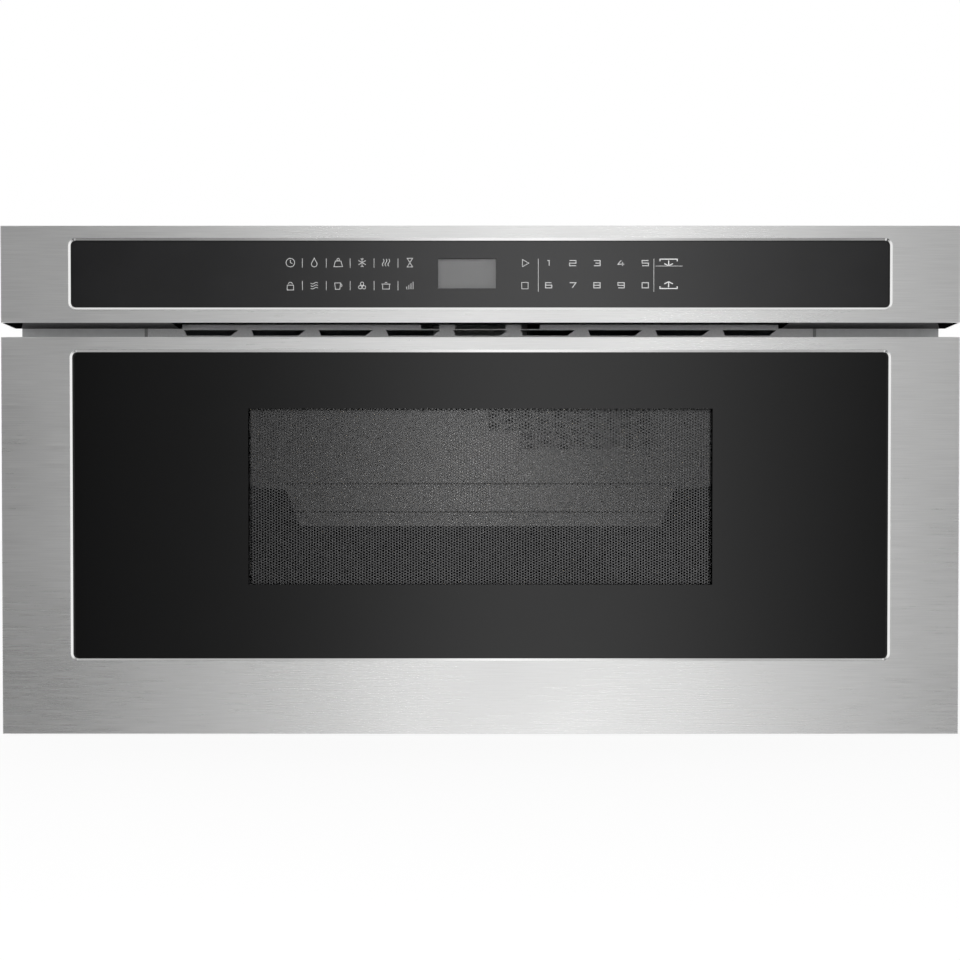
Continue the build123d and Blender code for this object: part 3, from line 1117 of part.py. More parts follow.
# ================================================================ interlocks
hook_base, hook_end = 1.5, FLANGE_FRONT + 20.0
with BuildPart() as latch_hooks:
    with BuildSketch(facing(DOOR_BACK + hook_base)):
        with Locations((0, HOOK_Z)):
            with GridLocations(2 * HOOK_X, 0, 2, 1):
                Rectangle(HOOK_SLOT_WIDTH - 4, HOOK_SLOT_HEIGHT - 4)
    extrude(amount=hook_base)
    for sign in (-1, 1):
        with BuildSketch(Plane.YZ.offset(sign * HOOK_X - 3)):
            with BuildLine():
                Polyline((DOOR_BACK + hook_base, HOOK_Z - 7), (hook_end - 2, HOOK_Z - 5),
                         (hook_end, HOOK_Z - 3), (hook_end, HOOK_Z + 9), (hook_end - 7, HOOK_Z + 9),
                         (hook_end - 9, HOOK_Z + 4), (DOOR_BACK + hook_base, HOOK_Z + 7), close=True)
            make_face()
        extrude(amount=6)
save(latch_hooks, "latch_hooks")

# Each switch hangs on a folded bracket behind the flange, its terminals to the back.
plunger_r, plunger_length, plunger_head_r, plunger_head = 2.0, 14.0, 3.5, 1.5
plunger_front = hook_end + SEAT
switch_front, switch_back = plunger_front + 3.7, plunger_front + 28.0
switch_x, switch_half = (HOOK_X - 7.0, HOOK_X + 7.5), 11.0
switch_bracket = 1.5
bracket_x = (switch_x[1], switch_x[1] + switch_bracket, switch_x[1] + 16.0)
bracket_z = (HOOK_Z - 13, HOOK_Z + 13)
terminal, terminal_length = 0.8, 8.0
with BuildPart() as interlock_switches:
    for sign in (-1, 1):
        block(mirrored(sign, *switch_x), (switch_front, switch_back),
              (HOOK_Z - switch_half, HOOK_Z + switch_half))
        block(mirrored(sign, bracket_x[0], bracket_x[1]), (BODY_FRONT, switch_back + 6), bracket_z)
        block(mirrored(sign, bracket_x[1], bracket_x[2]), (BODY_FRONT, BODY_FRONT + switch_bracket),
              bracket_z)
        for z in (HOOK_Z - 6, HOOK_Z, HOOK_Z + 6):
            block(mirrored(sign, HOOK_X - 3, HOOK_X + 3), (switch_back, switch_back + terminal_length),
                  (z - terminal / 2, z + terminal / 2))
    with BuildSketch(facing(switch_front + plunger_length)):
        with Locations((0, HOOK_Z)):
            with GridLocations(2 * HOOK_X, 0, 2, 1):
                Circle(plunger_r + RUNNING_FIT)
    extrude(amount=plunger_length, mode=Mode.SUBTRACT)
save(interlock_switches, "interlock_switches")

for side, sign in SIDES:
    with BuildPart(facing(plunger_front)) as interlock_plunger:
        with BuildSketch(facing(plunger_front + plunger_head)):
            with Locations((sign * HOOK_X, HOOK_Z)):
                RegularPolygon(plunger_head_r, 8)
        extrude(amount=plunger_head)
        with Locations((sign * HOOK_X, HOOK_Z, -plunger_length / 2)):
            Cylinder(plunger_r, plunger_length)
    save(interlock_plunger, f"interlock_plunger_{side}")

# ================================================================ sensors
# Thermal cut-outs with two tabs each, on the ceiling, the waveguide and the exhaust duct.
SENSOR_PLACES = ((150, STIRRER_Y, CAVITY_CEILING + SHEET),
                 (0, MAGNETRON_Y - 20, GUIDE_TOP),
                 (110, BODY_FRONT + 40, exhaust_z[1]))
sensor_r, sensor_height, sensor_strap = 8.0, 6.0, 30.0
with BuildPart() as cavity_sensors:
    for x, y, z in SENSOR_PLACES:
        with BuildSketch(Plane.XY.offset(z)):
            with Locations((x, y)):
                RegularPolygon(sensor_r, 12)
        extrude(amount=sensor_height)
        with BuildSketch(Plane.XY.offset(z)):
            with Locations((x, y)):
                Rectangle(sensor_strap, sensor_r + 1)
        extrude(amount=1)
        with Locations((x, y, z + sensor_height + 3)):
            with GridLocations(sensor_r, 0, 2, 1):
                Box(0.8, 5, 6)
save(cavity_sensors, "cavity_sensors")
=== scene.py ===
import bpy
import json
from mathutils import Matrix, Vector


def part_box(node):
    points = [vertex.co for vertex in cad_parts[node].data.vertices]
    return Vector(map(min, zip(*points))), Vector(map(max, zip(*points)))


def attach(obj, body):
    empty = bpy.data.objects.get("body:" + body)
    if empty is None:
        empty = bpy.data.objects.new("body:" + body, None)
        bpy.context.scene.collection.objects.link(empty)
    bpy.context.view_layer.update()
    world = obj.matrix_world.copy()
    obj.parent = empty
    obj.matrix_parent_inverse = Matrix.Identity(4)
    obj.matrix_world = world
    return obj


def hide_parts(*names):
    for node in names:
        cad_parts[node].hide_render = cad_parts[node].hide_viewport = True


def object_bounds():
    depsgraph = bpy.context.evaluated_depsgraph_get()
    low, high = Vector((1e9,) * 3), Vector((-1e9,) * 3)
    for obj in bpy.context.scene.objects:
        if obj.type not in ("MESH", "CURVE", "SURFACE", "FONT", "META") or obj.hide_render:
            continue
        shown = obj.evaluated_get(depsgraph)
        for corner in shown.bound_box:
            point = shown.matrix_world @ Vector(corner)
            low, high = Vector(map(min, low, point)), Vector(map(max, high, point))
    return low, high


bl_info = {
    "name": "Microwave drawer",
    "version": (1, 0, 0),
    "blender": (4, 5, 0),
    "location": "View3D > Sidebar > Microwave drawer",
    "description": "Finishes, glass, window screen, legends and stage of a microwave drawer",
    "category": "Object",
}

import json
import math

import bpy
import numpy as np
from bpy.props import FloatProperty, FloatVectorProperty, IntProperty, PointerProperty

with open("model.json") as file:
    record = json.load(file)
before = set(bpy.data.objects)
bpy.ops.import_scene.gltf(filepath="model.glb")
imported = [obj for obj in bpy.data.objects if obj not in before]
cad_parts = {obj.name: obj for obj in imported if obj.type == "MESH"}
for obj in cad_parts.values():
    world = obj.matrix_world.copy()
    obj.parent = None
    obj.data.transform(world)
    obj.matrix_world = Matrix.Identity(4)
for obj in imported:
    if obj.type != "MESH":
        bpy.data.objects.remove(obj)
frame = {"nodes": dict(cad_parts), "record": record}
CAD_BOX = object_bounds()
MM = 0.001


# ---------------------------------------------------------------- meshes
def put_mesh(name, points, faces, body, slot, finishes=None, face_finish=None):
    """A new piece from rows of x, y, z in metres and lists of corner numbers. It rides on a body and takes
    the finish of its slot or its own finishes. face_finish gives each face the number of its finish."""
    mesh = bpy.data.meshes.new(name)
    mesh.from_pydata(np.asarray(points, float), [], faces if isinstance(faces, list) else faces.tolist())
    mesh.validate()
    for each in finishes or [finish_for(slot)]:
        mesh.materials.append(each)
    if face_finish is not None:
        mesh.polygons.foreach_set("material_index", np.asarray(face_finish, np.int32))
    mesh.update()
    piece = bpy.data.objects.new(name, mesh)
    bpy.context.scene.collection.objects.link(piece)
    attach(piece, body)
    return piece


def loft(rings, looped=False):
    """Four-cornered faces between each ring of points and the next. A loft that isn't looped gets a face over
    its first and last ring. The rings turn anticlockwise round the way they are carried, so the faces point
    outwards."""
    rings = np.asarray(rings, float)
    count, size = rings.shape[:2]
    here = np.arange(count if looped else count - 1)[:, None] * size
    after = (here + size) % (count * size)
    corner, following = np.arange(size), np.roll(np.arange(size), -1)
    quads = np.stack([here + corner, here + following, after + following, after + corner], -1)
    faces = quads.reshape(-1, 4).tolist()
    if not looped:
        faces += [corner[::-1].tolist(), (corner + (count - 1) * size).tolist()]
    return rings.reshape(-1, 3), faces


def joined(solids):
    """Several lofts as one set of points and faces."""
    points, faces, start = [], [], 0
    for part_points, part_faces in solids:
        points.append(part_points)
        faces += [[corner + start for corner in face] for face in part_faces]
        start += len(part_points)
    return np.concatenate(points), faces


def rounded_outline(x, z, radius, per_corner=7):
    """Rows of x, z round a rectangle: a quarter circle about each corner's centre, joined by straight
    sides."""
    turn = np.arange(4)[:, None] * np.pi / 2 + np.linspace(0, np.pi / 2, per_corner)
    centre_x = np.array([x[1] - radius, x[0] + radius, x[0] + radius, x[1] - radius])[:, None]
    centre_z = np.array([z[1] - radius, z[1] - radius, z[0] + radius, z[0] + radius])[:, None]
    across, up = centre_x + radius * np.cos(turn), centre_z + radius * np.sin(turn)
    return np.stack([across.ravel(), up.ravel()], 1)


def at_depth(outline, y):
    """An outline of x, z rows as points at one depth."""
    return np.stack([outline[:, 0], np.full(len(outline), y), outline[:, 1]], 1)


def flat_ring(outer, inner, front, back):
    """A flat sheet between an outline and its opening."""
    return loft([at_depth(outer, back), at_depth(outer, front), at_depth(inner, front),
                 at_depth(inner, back)], looped=True)


def level(outline, z):
    """An outline of x, y rows as points at one height."""
    return np.column_stack([outline, np.full(len(outline), z)])


def bar_along(path, width, front, back, looped=False):
    """A flat bar carried along a path of x, z rows. At each point its edges lie half a width to either side,
    along the line that halves the corner, lengthened so that the bar keeps its width."""
    path = np.asarray(path, float)
    step = np.roll(path, -1, 0) - path
    if not looped:
        step[-1] = step[-2]
    step = step / np.linalg.norm(step, axis=1, keepdims=True)
    before = np.roll(step, 1, 0)
    if not looped:
        before[0] = step[0]
    sideways = np.stack([-step[:, 1], step[:, 0]], 1) + np.stack([-before[:, 1], before[:, 0]], 1)
    sideways *= width / (1 + (step * before).sum(1, keepdims=True)) / 2
    left, right = path + sideways, path - sideways
    return loft(np.stack([at_depth(left, back), at_depth(left, front), at_depth(right, front),
                          at_depth(right, back)], 1), looped)


# ---------------------------------------------------------------- materials
def new_finish(name):
    """A material with its Principled shader, and its nodes and links for more."""
    finish = bpy.data.materials.new(name)
    finish.use_nodes = True
    nodes, links = finish.node_tree.nodes, finish.node_tree.links
    return finish, nodes, links, nodes["Principled BSDF"]


PATTERNS = {"noise": "ShaderNodeTexNoise", "cells": "ShaderNodeTexVoronoi", "bands": "ShaderNodeTexWave"}
BAND_SCALE = 1 / math.sqrt(2)       # at which a band is about as wide as its size says
BAND_DISTORTION = 0.4


def object_pattern(nodes, links, kind, size, detail=3.0):
    """A pattern from 0 to 1 on the piece's own coordinates. size is the length of one blotch, streak or cell
    in metres: one number, or three for x, y and z."""
    place = nodes.new("ShaderNodeTexCoord")
    mapping = nodes.new("ShaderNodeMapping")
    mapping.inputs["Scale"].default_value = (1 / np.broadcast_to(size, 3)).tolist()
    links.new(place.outputs["Object"], mapping.inputs["Vector"])
    pattern = nodes.new(PATTERNS[kind])
    pattern.inputs["Scale"].default_value = BAND_SCALE if kind == "bands" else 1
    links.new(mapping.outputs["Vector"], pattern.inputs["Vector"])
    if kind == "cells":
        value = nodes.new("ShaderNodeSeparateColor")
        links.new(pattern.outputs["Color"], value.inputs["Color"])
        return value.outputs["Red"]
    if kind == "bands":
        pattern.bands_direction = "DIAGONAL"
        pattern.inputs["Distortion"].default_value = BAND_DISTORTION
    else:
        pattern.inputs["Detail"].default_value = detail
    return pattern.outputs["Fac"]


def worked_out(nodes, links, operation, *values, kind="Math"):
    """The result of a Math or VectorMath node. A value is another node's output, a number or a vector."""
    node = nodes.new(f"ShaderNode{kind}")
    node.operation = operation
    for socket, value in zip(node.inputs, values):
        if isinstance(value, bpy.types.NodeSocket):
            links.new(value, socket)
        else:
            socket.default_value = value
    return node.outputs[0]


def ranged(nodes, links, value, low, high, near=0.3, far=0.7):
    """value carried from near..far, where a noise mostly keeps, to low..high."""
    node = nodes.new("ShaderNodeMapRange")
    for socket, limit in zip(("From Min", "From Max", "To Min", "To Max"), (near, far, low, high)):
        node.inputs[socket].default_value = limit
    links.new(value, node.inputs["Value"])
    return node.outputs["Result"]


def between(nodes, links, factor, first, second):
    """The colour between two, by a factor. The first is a colour or another node's output."""
    node = nodes.new("ShaderNodeMix")
    node.data_type = "RGBA"
    if isinstance(first, bpy.types.NodeSocket):
        links.new(first, node.inputs["A"])
    else:
        node.inputs["A"].default_value = (*first, 1)
    node.inputs["B"].default_value = (*second, 1)
    links.new(factor, node.inputs["Factor"])
    return node.outputs["Result"]


def mixed_surface(nodes, links, factor, first, second):
    """Two shaders mixed as the material's surface."""
    mix = nodes.new("ShaderNodeMixShader")
    for value, socket in zip((factor, first.outputs[0], second.outputs[0]), mix.inputs):
        links.new(value, socket)
    links.new(mix.outputs["Shader"], nodes["Material Output"].inputs["Surface"])


WEAR_DETAIL = 2.0           # how finely handling marks are broken up


def make_finish(name, tone, spread, rough, rough_spread, kind="noise", size=.01, relief=0.0, metal=0.0,
                wear_size=0.12, **sockets):
    """A finish whose colour, roughness and relief follow a fine pattern, and whose roughness also follows a
    broad one for handling marks. tone is its middle colour, spread how far the pattern lightens and darkens
    it."""
    finish, nodes, links, shader = new_finish(name)
    pattern = object_pattern(nodes, links, kind, size)
    tone = np.array(tone, float)
    links.new(between(nodes, links, ranged(nodes, links, pattern, 0, 1), tone * (1 - spread),
                      np.minimum(tone * (1 + spread), 1)), shader.inputs["Base Color"])
    broad = object_pattern(nodes, links, "noise", wear_size, WEAR_DETAIL)
    fine_part = ranged(nodes, links, pattern, rough - rough_spread, rough + rough_spread)
    broad_part = ranged(nodes, links, broad, -rough_spread, rough_spread)
    total = worked_out(nodes, links, "ADD", fine_part, broad_part)
    total.node.use_clamp = True
    links.new(total, shader.inputs["Roughness"])
    shader.inputs["Metallic"].default_value = metal
    for socket, value in sockets.items():
        shader.inputs[socket.replace("_", " ")].default_value = value
    if relief:
        bump = nodes.new("ShaderNodeBump")
        bump.inputs["Distance"].default_value = relief
        links.new(pattern, bump.inputs["Height"])
        links.new(bump.outputs["Normal"], shader.inputs["Normal"])
    return finish


STEEL_ROUGH_SPREAD = 0.04
STEEL_WEAR_SIZE = 0.2       # length of a handling mark on the steel


def brushed_steel(settings):
    """Stainless steel brushed from side to side: long streaks a fraction of a millimetre high along x and y.
    Its reflections are drawn out across the grain, along the tangent round the x axis, which is upright on
    the fronts."""
    long, fine = settings.streak_length, settings.streak_height
    finish = make_finish("brushed_stainless", settings.tone, settings.streak_contrast, settings.roughness,
                         STEEL_ROUGH_SPREAD, size=(long, long, fine), relief=settings.streak_relief,
                         metal=settings.metallic, wear_size=STEEL_WEAR_SIZE,
                         Anisotropic=settings.anisotropy)
    nodes, links = finish.node_tree.nodes, finish.node_tree.links
    grain = nodes.new("ShaderNodeTangent")
    grain.direction_type = "RADIAL"
    grain.axis = "X"
    links.new(grain.outputs["Tangent"], nodes["Principled BSDF"].inputs["Tangent"])
    return finish


SMEAR_SIZE = (0.09, 0.09, 0.05)
SMEAR_ROUGHNESS = (0.02, 0.06)


def clear_pane(name, index, tint, dimmed=0.0):
    """Thin clear glass that bends nothing. It lets most light through and mirrors a little, more at a low
    angle, as glass of this refractive index does. dimmed is the share of mirroring that a coating takes
    away."""
    finish, nodes, links, shader = new_finish(name)
    nodes.remove(shader)
    through, mirror, fresnel = [nodes.new(f"ShaderNode{kind}") for kind in
                                ("BsdfTransparent", "BsdfGlossy", "Fresnel")]
    smears = object_pattern(nodes, links, "noise", SMEAR_SIZE)
    through.inputs["Color"].default_value = (*tint, 1)
    links.new(ranged(nodes, links, smears, *SMEAR_ROUGHNESS), mirror.inputs["Roughness"])
    fresnel.inputs["IOR"].default_value = index
    share = ranged(nodes, links, fresnel.outputs["Fac"], 0, 1, dimmed, 1)
    mixed_surface(nodes, links, share, through, mirror)
    return finish


# Every finish that a CAD node may take, by the record's slot: middle colour, its spread, roughness, its
# spread, pattern, size of the pattern in metres, relief in metres, how metallic.
FINISH_ROWS = {
    "screen_steel": ((.145, .145, .147), .08, .24, .03, "noise", .004, 0, 1),
    "black_plastic": ((.012, .012, .013), .3, .45, .08, "noise", .0012, .00003, 0),
    "grille_paint": ((.5, .5, .505), .08, .42, .06, "noise", .0015, .00002, 0),
    "galvanised_steel": ((.5, .51, .52), .03, .38, .012, "cells", .009, 0, .9),
    "zinc_screws": ((.62, .62, .6), .1, .3, .07, "noise", .002, .00002, 1),
    "cavity_paint": ((.1, .1, .1), .05, .4, .06, "noise", .002, .00002, 0),
    "tub_coating": ((.003, .003, .0033), .3, .5, .08, "noise", .0015, .00002, 0),
    "shelf_ceramic": ((.05, .05, .053), .25, .14, .04, "noise", .0016, 0, 0),
    "slide_steel": ((.6, .61, .62), .08, .27, .06, "noise", (.0008, .12, .0008), .000005, 1),
    "rack_plastic": ((.74, .73, .69), .04, .45, .06, "noise", .003, .00002, 0),
    "stirrer_aluminium": ((.7, .7, .71), .06, .32, .07, "noise", (.03, .002, .002), .00001, 1),
    "mica": ((.42, .34, .22), .18, .5, .08, "cells", (.006, .006, .002), .00003, 0),
    "motor_steel": ((.45, .45, .46), .1, .36, .07, "noise", .004, .00002, 1),
    "magnetron_metal": ((.58, .57, .55), .1, .4, .08, "cells", .006, 0, .9),
    "core_steel": ((.2, .2, .21), .35, .45, .08, "bands", (1, .001, 1), .00004, .6),
    "copper_winding": ((.55, .22, .08), .3, .35, .08, "bands", (1, 1, .0012), .0001, 1),
    "capacitor_can": ((.62, .63, .64), .06, .3, .06, "noise", (.004, .004, .02), .00001, 1),
    "circuit_board": ((.02, .14, .05), .35, .35, .08, "cells", .004, .00003, 0),
    "display_face": ((.2, .2, .202), .06, .35, .04, "bands", (.0006, 1, 1), 0, 0),
    "touch_film": ((.03, .03, .032), .2, .4, .05, "noise", .003, 0, 0),
    "lamp": ((.75, .74, .7), .06, .3, .08, "noise", .004, 0, 0),
    "sensor_metal": ((.5, .5, .5), .1, .35, .08, "noise", .002, .00001, 1),
}
# Nodes whose finish differs from the rest of their slot: its name, a row as above, and how much it mirrors.
NODE_FINISHES = {
    "control_housing": ("housing_plastic", (.004, .004, .0043), .3, .7, .08, "noise", .0012, .00003, 0, 0),
    "front_flange": ("flange_zinc", (.5, .505, .51), .05, .5, .06, "noise", .006, 0, .15, .3),
}
PLAIN_SHINE = 0.5           # how much a finish mirrors, on the shader's scale from 0 to 1
DULL_SHINES = {"tub_coating": 0.1}
FINISHES = {}


def finish_for(slot, node=None):
    """The material of a slot, made once, or of a node that has its own."""
    if node in NODE_FINISHES:
        *row, shine = NODE_FINISHES[node]
        return make_finish(*row, Specular_IOR_Level=shine)
    if slot not in FINISHES:
        if slot == "brushed_stainless":
            FINISHES[slot] = brushed_steel(bpy.context.scene.microwave_drawer.steel)
        else:
            FINISHES[slot] = make_finish(slot, *FINISH_ROWS[slot],
                                         Specular_IOR_Level=DULL_SHINES.get(slot, PLAIN_SHINE))
    return FINISHES[slot]


# ---------------------------------------------------------------- settings
def number(name, description, default, **more):
    """A setting that is one number."""
    return FloatProperty(name=name, description=description, default=default, **more)


def metres(name, description, default):
    """A setting that is a length."""
    return number(name, description, default, unit="LENGTH", precision=6)


def fraction(name, description, default):
    """A setting from 0 to 1."""
    return number(name, description, default, min=0, max=1, subtype="FACTOR")


def watts(name, description, default):
    """A setting that is a lamp's power."""
    return number(name, description, default, unit="POWER")


def colour(name, description, default):
    """A setting that is a colour."""
    return FloatVectorProperty(name=name, description=description, subtype="COLOR", default=default, min=0,
                               max=1)


class DrawerSteelSettings(bpy.types.PropertyGroup):
    """The brushed stainless fronts."""
    tone: colour("Steel tone", "Colour of the stainless steel", (.9, .9, .895))
    metallic: fraction("Metallic", "How much of the surface is bare metal", .93)
    roughness: fraction("Roughness", "How dull the brushed steel is", .3)
    anisotropy: fraction("Anisotropy", "How far reflections are drawn out across the grain", .6)
    streak_length: metres("Streak length", "Length of a brush mark", .035)
    streak_height: metres("Streak height", "Height of a brush mark", .0007)
    streak_contrast: fraction("Streak contrast", "How much brush marks differ in tone", .045)
    streak_relief: metres("Streak relief", "Depth of a brush mark", .0000001)


class DrawerWindowSettings(bpy.types.PropertyGroup):
    """The perforated screen in the drawer's window."""
    column_pitch: metres("Column pitch", "Distance between columns of holes", .002194)
    hole_pitch: metres("Hole pitch", "Distance between the holes of a column", .002177)
    hole_radius: metres("Hole radius", "Radius round the corners of a hole", .00092)
    tiles: IntProperty(name="Tiles", description="How many pieces the screen is made in", default=3, min=1,
                       max=8)


class DrawerGlassSettings(bpy.types.PropertyGroup):
    """The two panes of glass and the glass inside the door."""
    edge: metres("Polished edge", "Width of the polished edge", .0004)
    window_index: number("Window index", "Refractive index of the drawer's window, which sets how much it "
                         "mirrors at a low angle", 1.5, min=1, max=2)
    display_index: number("Display index", "Refractive index of the display's window", 1.3, min=1, max=2)
    enamel: colour("Drawer enamel", "Colour behind the drawer's glass", (.0006, .0006, .0007))
    panel_enamel: colour("Panel enamel", "Colour behind the control panel's glass", (.007, .007, .0075))


class DrawerLegendSettings(bpy.types.PropertyGroup):
    """The digits, signs and lines printed on the control panel."""
    digit_width: metres("Digit width", "Width of a digit", .005)
    digit_height: metres("Digit height", "Height of a digit", .0041)
    stroke: metres("Stroke", "Width of a digit's stroke", .0007)
    sign_size: metres("Sign size", "Half the width of a sign", .0036)
    tone: colour("Print tone", "Colour of the print", (.5, .5, .5))


class DrawerStageSettings(bpy.types.PropertyGroup):
    """Camera, floor and light."""
    eye_height: metres("Eye height", "Height of the camera", .1633)
    distance: metres("Distance", "From the camera to the drawer's front", 1.507)
    pitch: number("Pitch", "How far the camera looks down", math.radians(1.13), subtype="ANGLE")
    lens: number("Lens", "Focal length on a 36 mm sensor", 71.2, unit="CAMERA")
    shift: number("Shift", "How far the lens is shifted upwards", .0922)
    world_level: number("World level", "Brightness of the room round the object", 1.0, min=0)
    lamp_power: watts("Lamp power", "Power of the soft lamp above", 10.0)
    front_power: watts("Front lamp power", "Power of the soft lamp in front", 10.0)
    cavity_power: watts("Cavity power", "Power of the lamp in the cavity", .8)
    floor_tone: colour("Floor tone", "Colour of the floor", (.86, .86, .86))


class DrawerSettings(bpy.types.PropertyGroup):
    """All settings of the microwave drawer."""
    steel: PointerProperty(type=DrawerSteelSettings)
    window: PointerProperty(type=DrawerWindowSettings)
    glass: PointerProperty(type=DrawerGlassSettings)
    legend: PointerProperty(type=DrawerLegendSettings)
    stage: PointerProperty(type=DrawerStageSettings)


# ---------------------------------------------------------------- finishes of the CAD nodes
class DRAWER_OT_finishes(bpy.types.Operator):
    """Gives every carried-over CAD node the finish of its slot"""
    bl_idname = "microwave_drawer.finishes"
    bl_label = "Finish the metal and plastic"

    def execute(self, context):
        for row in frame["record"]["subparts"]:
            slot = row["material_slot"]
            if slot in ("black_glass", "clear_glass"):     # these are for the next operator
                continue
            for place in frame["nodes"][row["node"]].material_slots:
                place.material = finish_for(slot, row["node"])
        return {"FINISHED"}


# ---------------------------------------------------------------- glass
WINDOW_X = (-0.1844, 0.1844)
WINDOW_Z = (0.1206, 0.2605)
DISPLAY_X = (-0.0336, 0.0124)
DISPLAY_Z = (0.3556, 0.3793)
GLASS_HIDDEN = 0.005        # each glass reaches this far behind its edge
PANE_CORNER = 0.009
SHARP_CORNER = 0.0003       # of the windows in the enamel
BEHIND_WIDER = 0.0008       # how much wider a window is at the glass's back, so that no dark edge shows
WINDOW_TINT = (0.96, 0.96, 0.96)
PALE_TINT = (0.97, 0.97, 0.97)
DRAWER_ENAMEL_SHINE = 0.46
PANEL_ENAMEL_SHINE = 0.66
COATING_MARGIN = 0.001      # makes sure that a coated glass mirrors nothing when seen from straight in front


def pane(name, node, window, finishes):
    """A pane as a CAD node's box with rounded corners: rings from the back of its window out to its edge,
    forwards over two polished corners and in to the front of its window. The window's two faces take the
    first finish."""
    low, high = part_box(node)
    edge = bpy.context.scene.microwave_drawer.glass.edge
    full = rounded_outline((low.x, high.x), (low.z, high.z), PANE_CORNER)
    slim = rounded_outline((low.x + edge, high.x - edge), (low.z + edge, high.z - edge), PANE_CORNER - edge)
    hole = rounded_outline(*window, SHARP_CORNER)
    wide_hole = rounded_outline(*(np.add(limits, (-BEHIND_WIDER, BEHIND_WIDER)) for limits in window),
                                SHARP_CORNER)
    rings = [at_depth(wide_hole, high.y), at_depth(slim, high.y), at_depth(full, high.y - edge),
             at_depth(full, low.y + edge), at_depth(slim, low.y), at_depth(hole, low.y)]
    points, faces = loft(rings)
    face_finish = np.ones(len(faces), int)
    face_finish[-2:] = 0
    body = "drawer" if node == "drawer_glass" else "chassis"
    piece = put_mesh(name, points, faces, body, "black_glass", finishes, face_finish)
    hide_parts(node)


def enamelled(name, tone, shine):
    """Glass with enamel behind it, as one glossy surface whose roughness follows faint smears."""
    return make_finish(name, tone, .15, .06, .02, size=(.05, .05, .03), Specular_IOR_Level=shine)


class DRAWER_OT_glass(bpy.types.Operator):
    """Makes the drawer's pane with its window and the control panel's pane, and gives the glass inside the
    door a clear finish
    """
    bl_idname = "microwave_drawer.glass"
    bl_label = "Glaze the fronts"

    def execute(self, context):
        settings = context.scene.microwave_drawer.glass
        index = settings.window_index
        straight_share = ((index - 1) / (index + 1)) ** 2 + COATING_MARGIN
        window_glass = clear_pane("clear_glass", index, WINDOW_TINT, straight_share)
        display_glass = clear_pane("display_glass", settings.display_index, PALE_TINT)
        pane("drawer_pane", "drawer_glass", (WINDOW_X, WINDOW_Z),
             [window_glass, enamelled("drawer_enamel", settings.enamel, DRAWER_ENAMEL_SHINE)])
        pane("control_pane", "control_glass", (DISPLAY_X, DISPLAY_Z),
             [display_glass, enamelled("panel_enamel", settings.panel_enamel, PANEL_ENAMEL_SHINE)])
        inner_glass = clear_pane("inner_clear_glass", index, PALE_TINT, straight_share)
        for place in frame["nodes"]["inner_glass"].material_slots:
            place.material = inner_glass
        return {"FINISHED"}


PROUD = 0.00012             # how far thin lines and strips stand out from what carries them
TRIM_CORNER = 0.004
TRIM_WIDTH = 0.0019
TRIM_BEAD = 0.0004          # how far a bright edge's bead stands out from the skin
TRIM_DEPTH = 0.0007         # how far its slope goes in behind the skin's face
TRIM_SOFT = 0.0002          # width of its soft corners
TRIM_SUNK = 0.00004         # how far its outer line is sunk in the skin
DRAWER_TRIM_WIDER = 0.0009  # how far it stands outside the drawer's glass to the left and right
PANEL_TRIM_WIDER = 0.0004   # the same for the control glass
SEAL_INSIDE = 0.0003        # how far the black seal reaches over its glass


def ring_of_lines(name, node, lines, body, slot, finish):
    """A rounded outline carried round the visible part of a glass as a closed ring of lines. A line is how
    far it lies outside that part all round, how much further to the left and right, and its depth."""
    low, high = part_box(node)
    rings = []
    for outside, sideways, y in lines:
        wide = outside + sideways - GLASS_HIDDEN
        tall = outside - GLASS_HIDDEN
        outline = rounded_outline((low.x - wide, high.x + wide), (low.z - tall, high.z + tall),
                                  TRIM_CORNER + outside)
        rings.append(at_depth(outline, y))
    put_mesh(name, *loft(rings, looped=True), body, slot, [finish])


def trim(name, node, body, wider, finish, seal_finish):
    """A bright rolled edge round a glass, from a bead on the skin over a shallow slope towards the glass. It
    stands a little wider than the opening, and a thin black seal goes from it down to the glass."""
    face, glass = CAD_BOX[0].y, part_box(node)[0].y       # the skins' face is the front of the CAD box
    bead, root = face - TRIM_BEAD, face + TRIM_DEPTH
    profile = ((TRIM_WIDTH, face + TRIM_SUNK), (TRIM_WIDTH, bead + TRIM_SOFT / 4),
               (TRIM_WIDTH - TRIM_SOFT, bead), (TRIM_SOFT / 2, root - TRIM_SOFT / 4), (0, root),
               (0, root + TRIM_SOFT))
    ring_of_lines(name, node, [(outside, wider, y) for outside, y in profile], body, "brushed_stainless",
                  finish)
    seal = ((0, wider, root + TRIM_SOFT), (0, wider, root), (-SEAL_INSIDE, 0, glass - PROUD),
            (-SEAL_INSIDE, 0, glass - PROUD / 4))
    ring_of_lines(name.replace("trim", "seal"), node, seal, body, "black_plastic", seal_finish)


class DRAWER_OT_trims(bpy.types.Operator):
    """Makes the bright edge and the black seal round each glass"""
    bl_idname = "microwave_drawer.trims"
    bl_label = "Edge the glasses"

    def execute(self, context):
        bright = make_finish("polished_edge", (.93, .93, .925), .02, .1, .03, size=.03, metal=1.0)
        rubber = make_finish("glass_seal_rubber", (.003, .003, .003), .3, .6, .05, size=.001)
        trim("drawer_glass_trim", "drawer_glass", "drawer", DRAWER_TRIM_WIDER, bright, rubber)
        trim("control_glass_trim", "control_glass", "chassis", PANEL_TRIM_WIDER, bright, rubber)
        return {"FINISHED"}


FILM_CORNER = 0.002


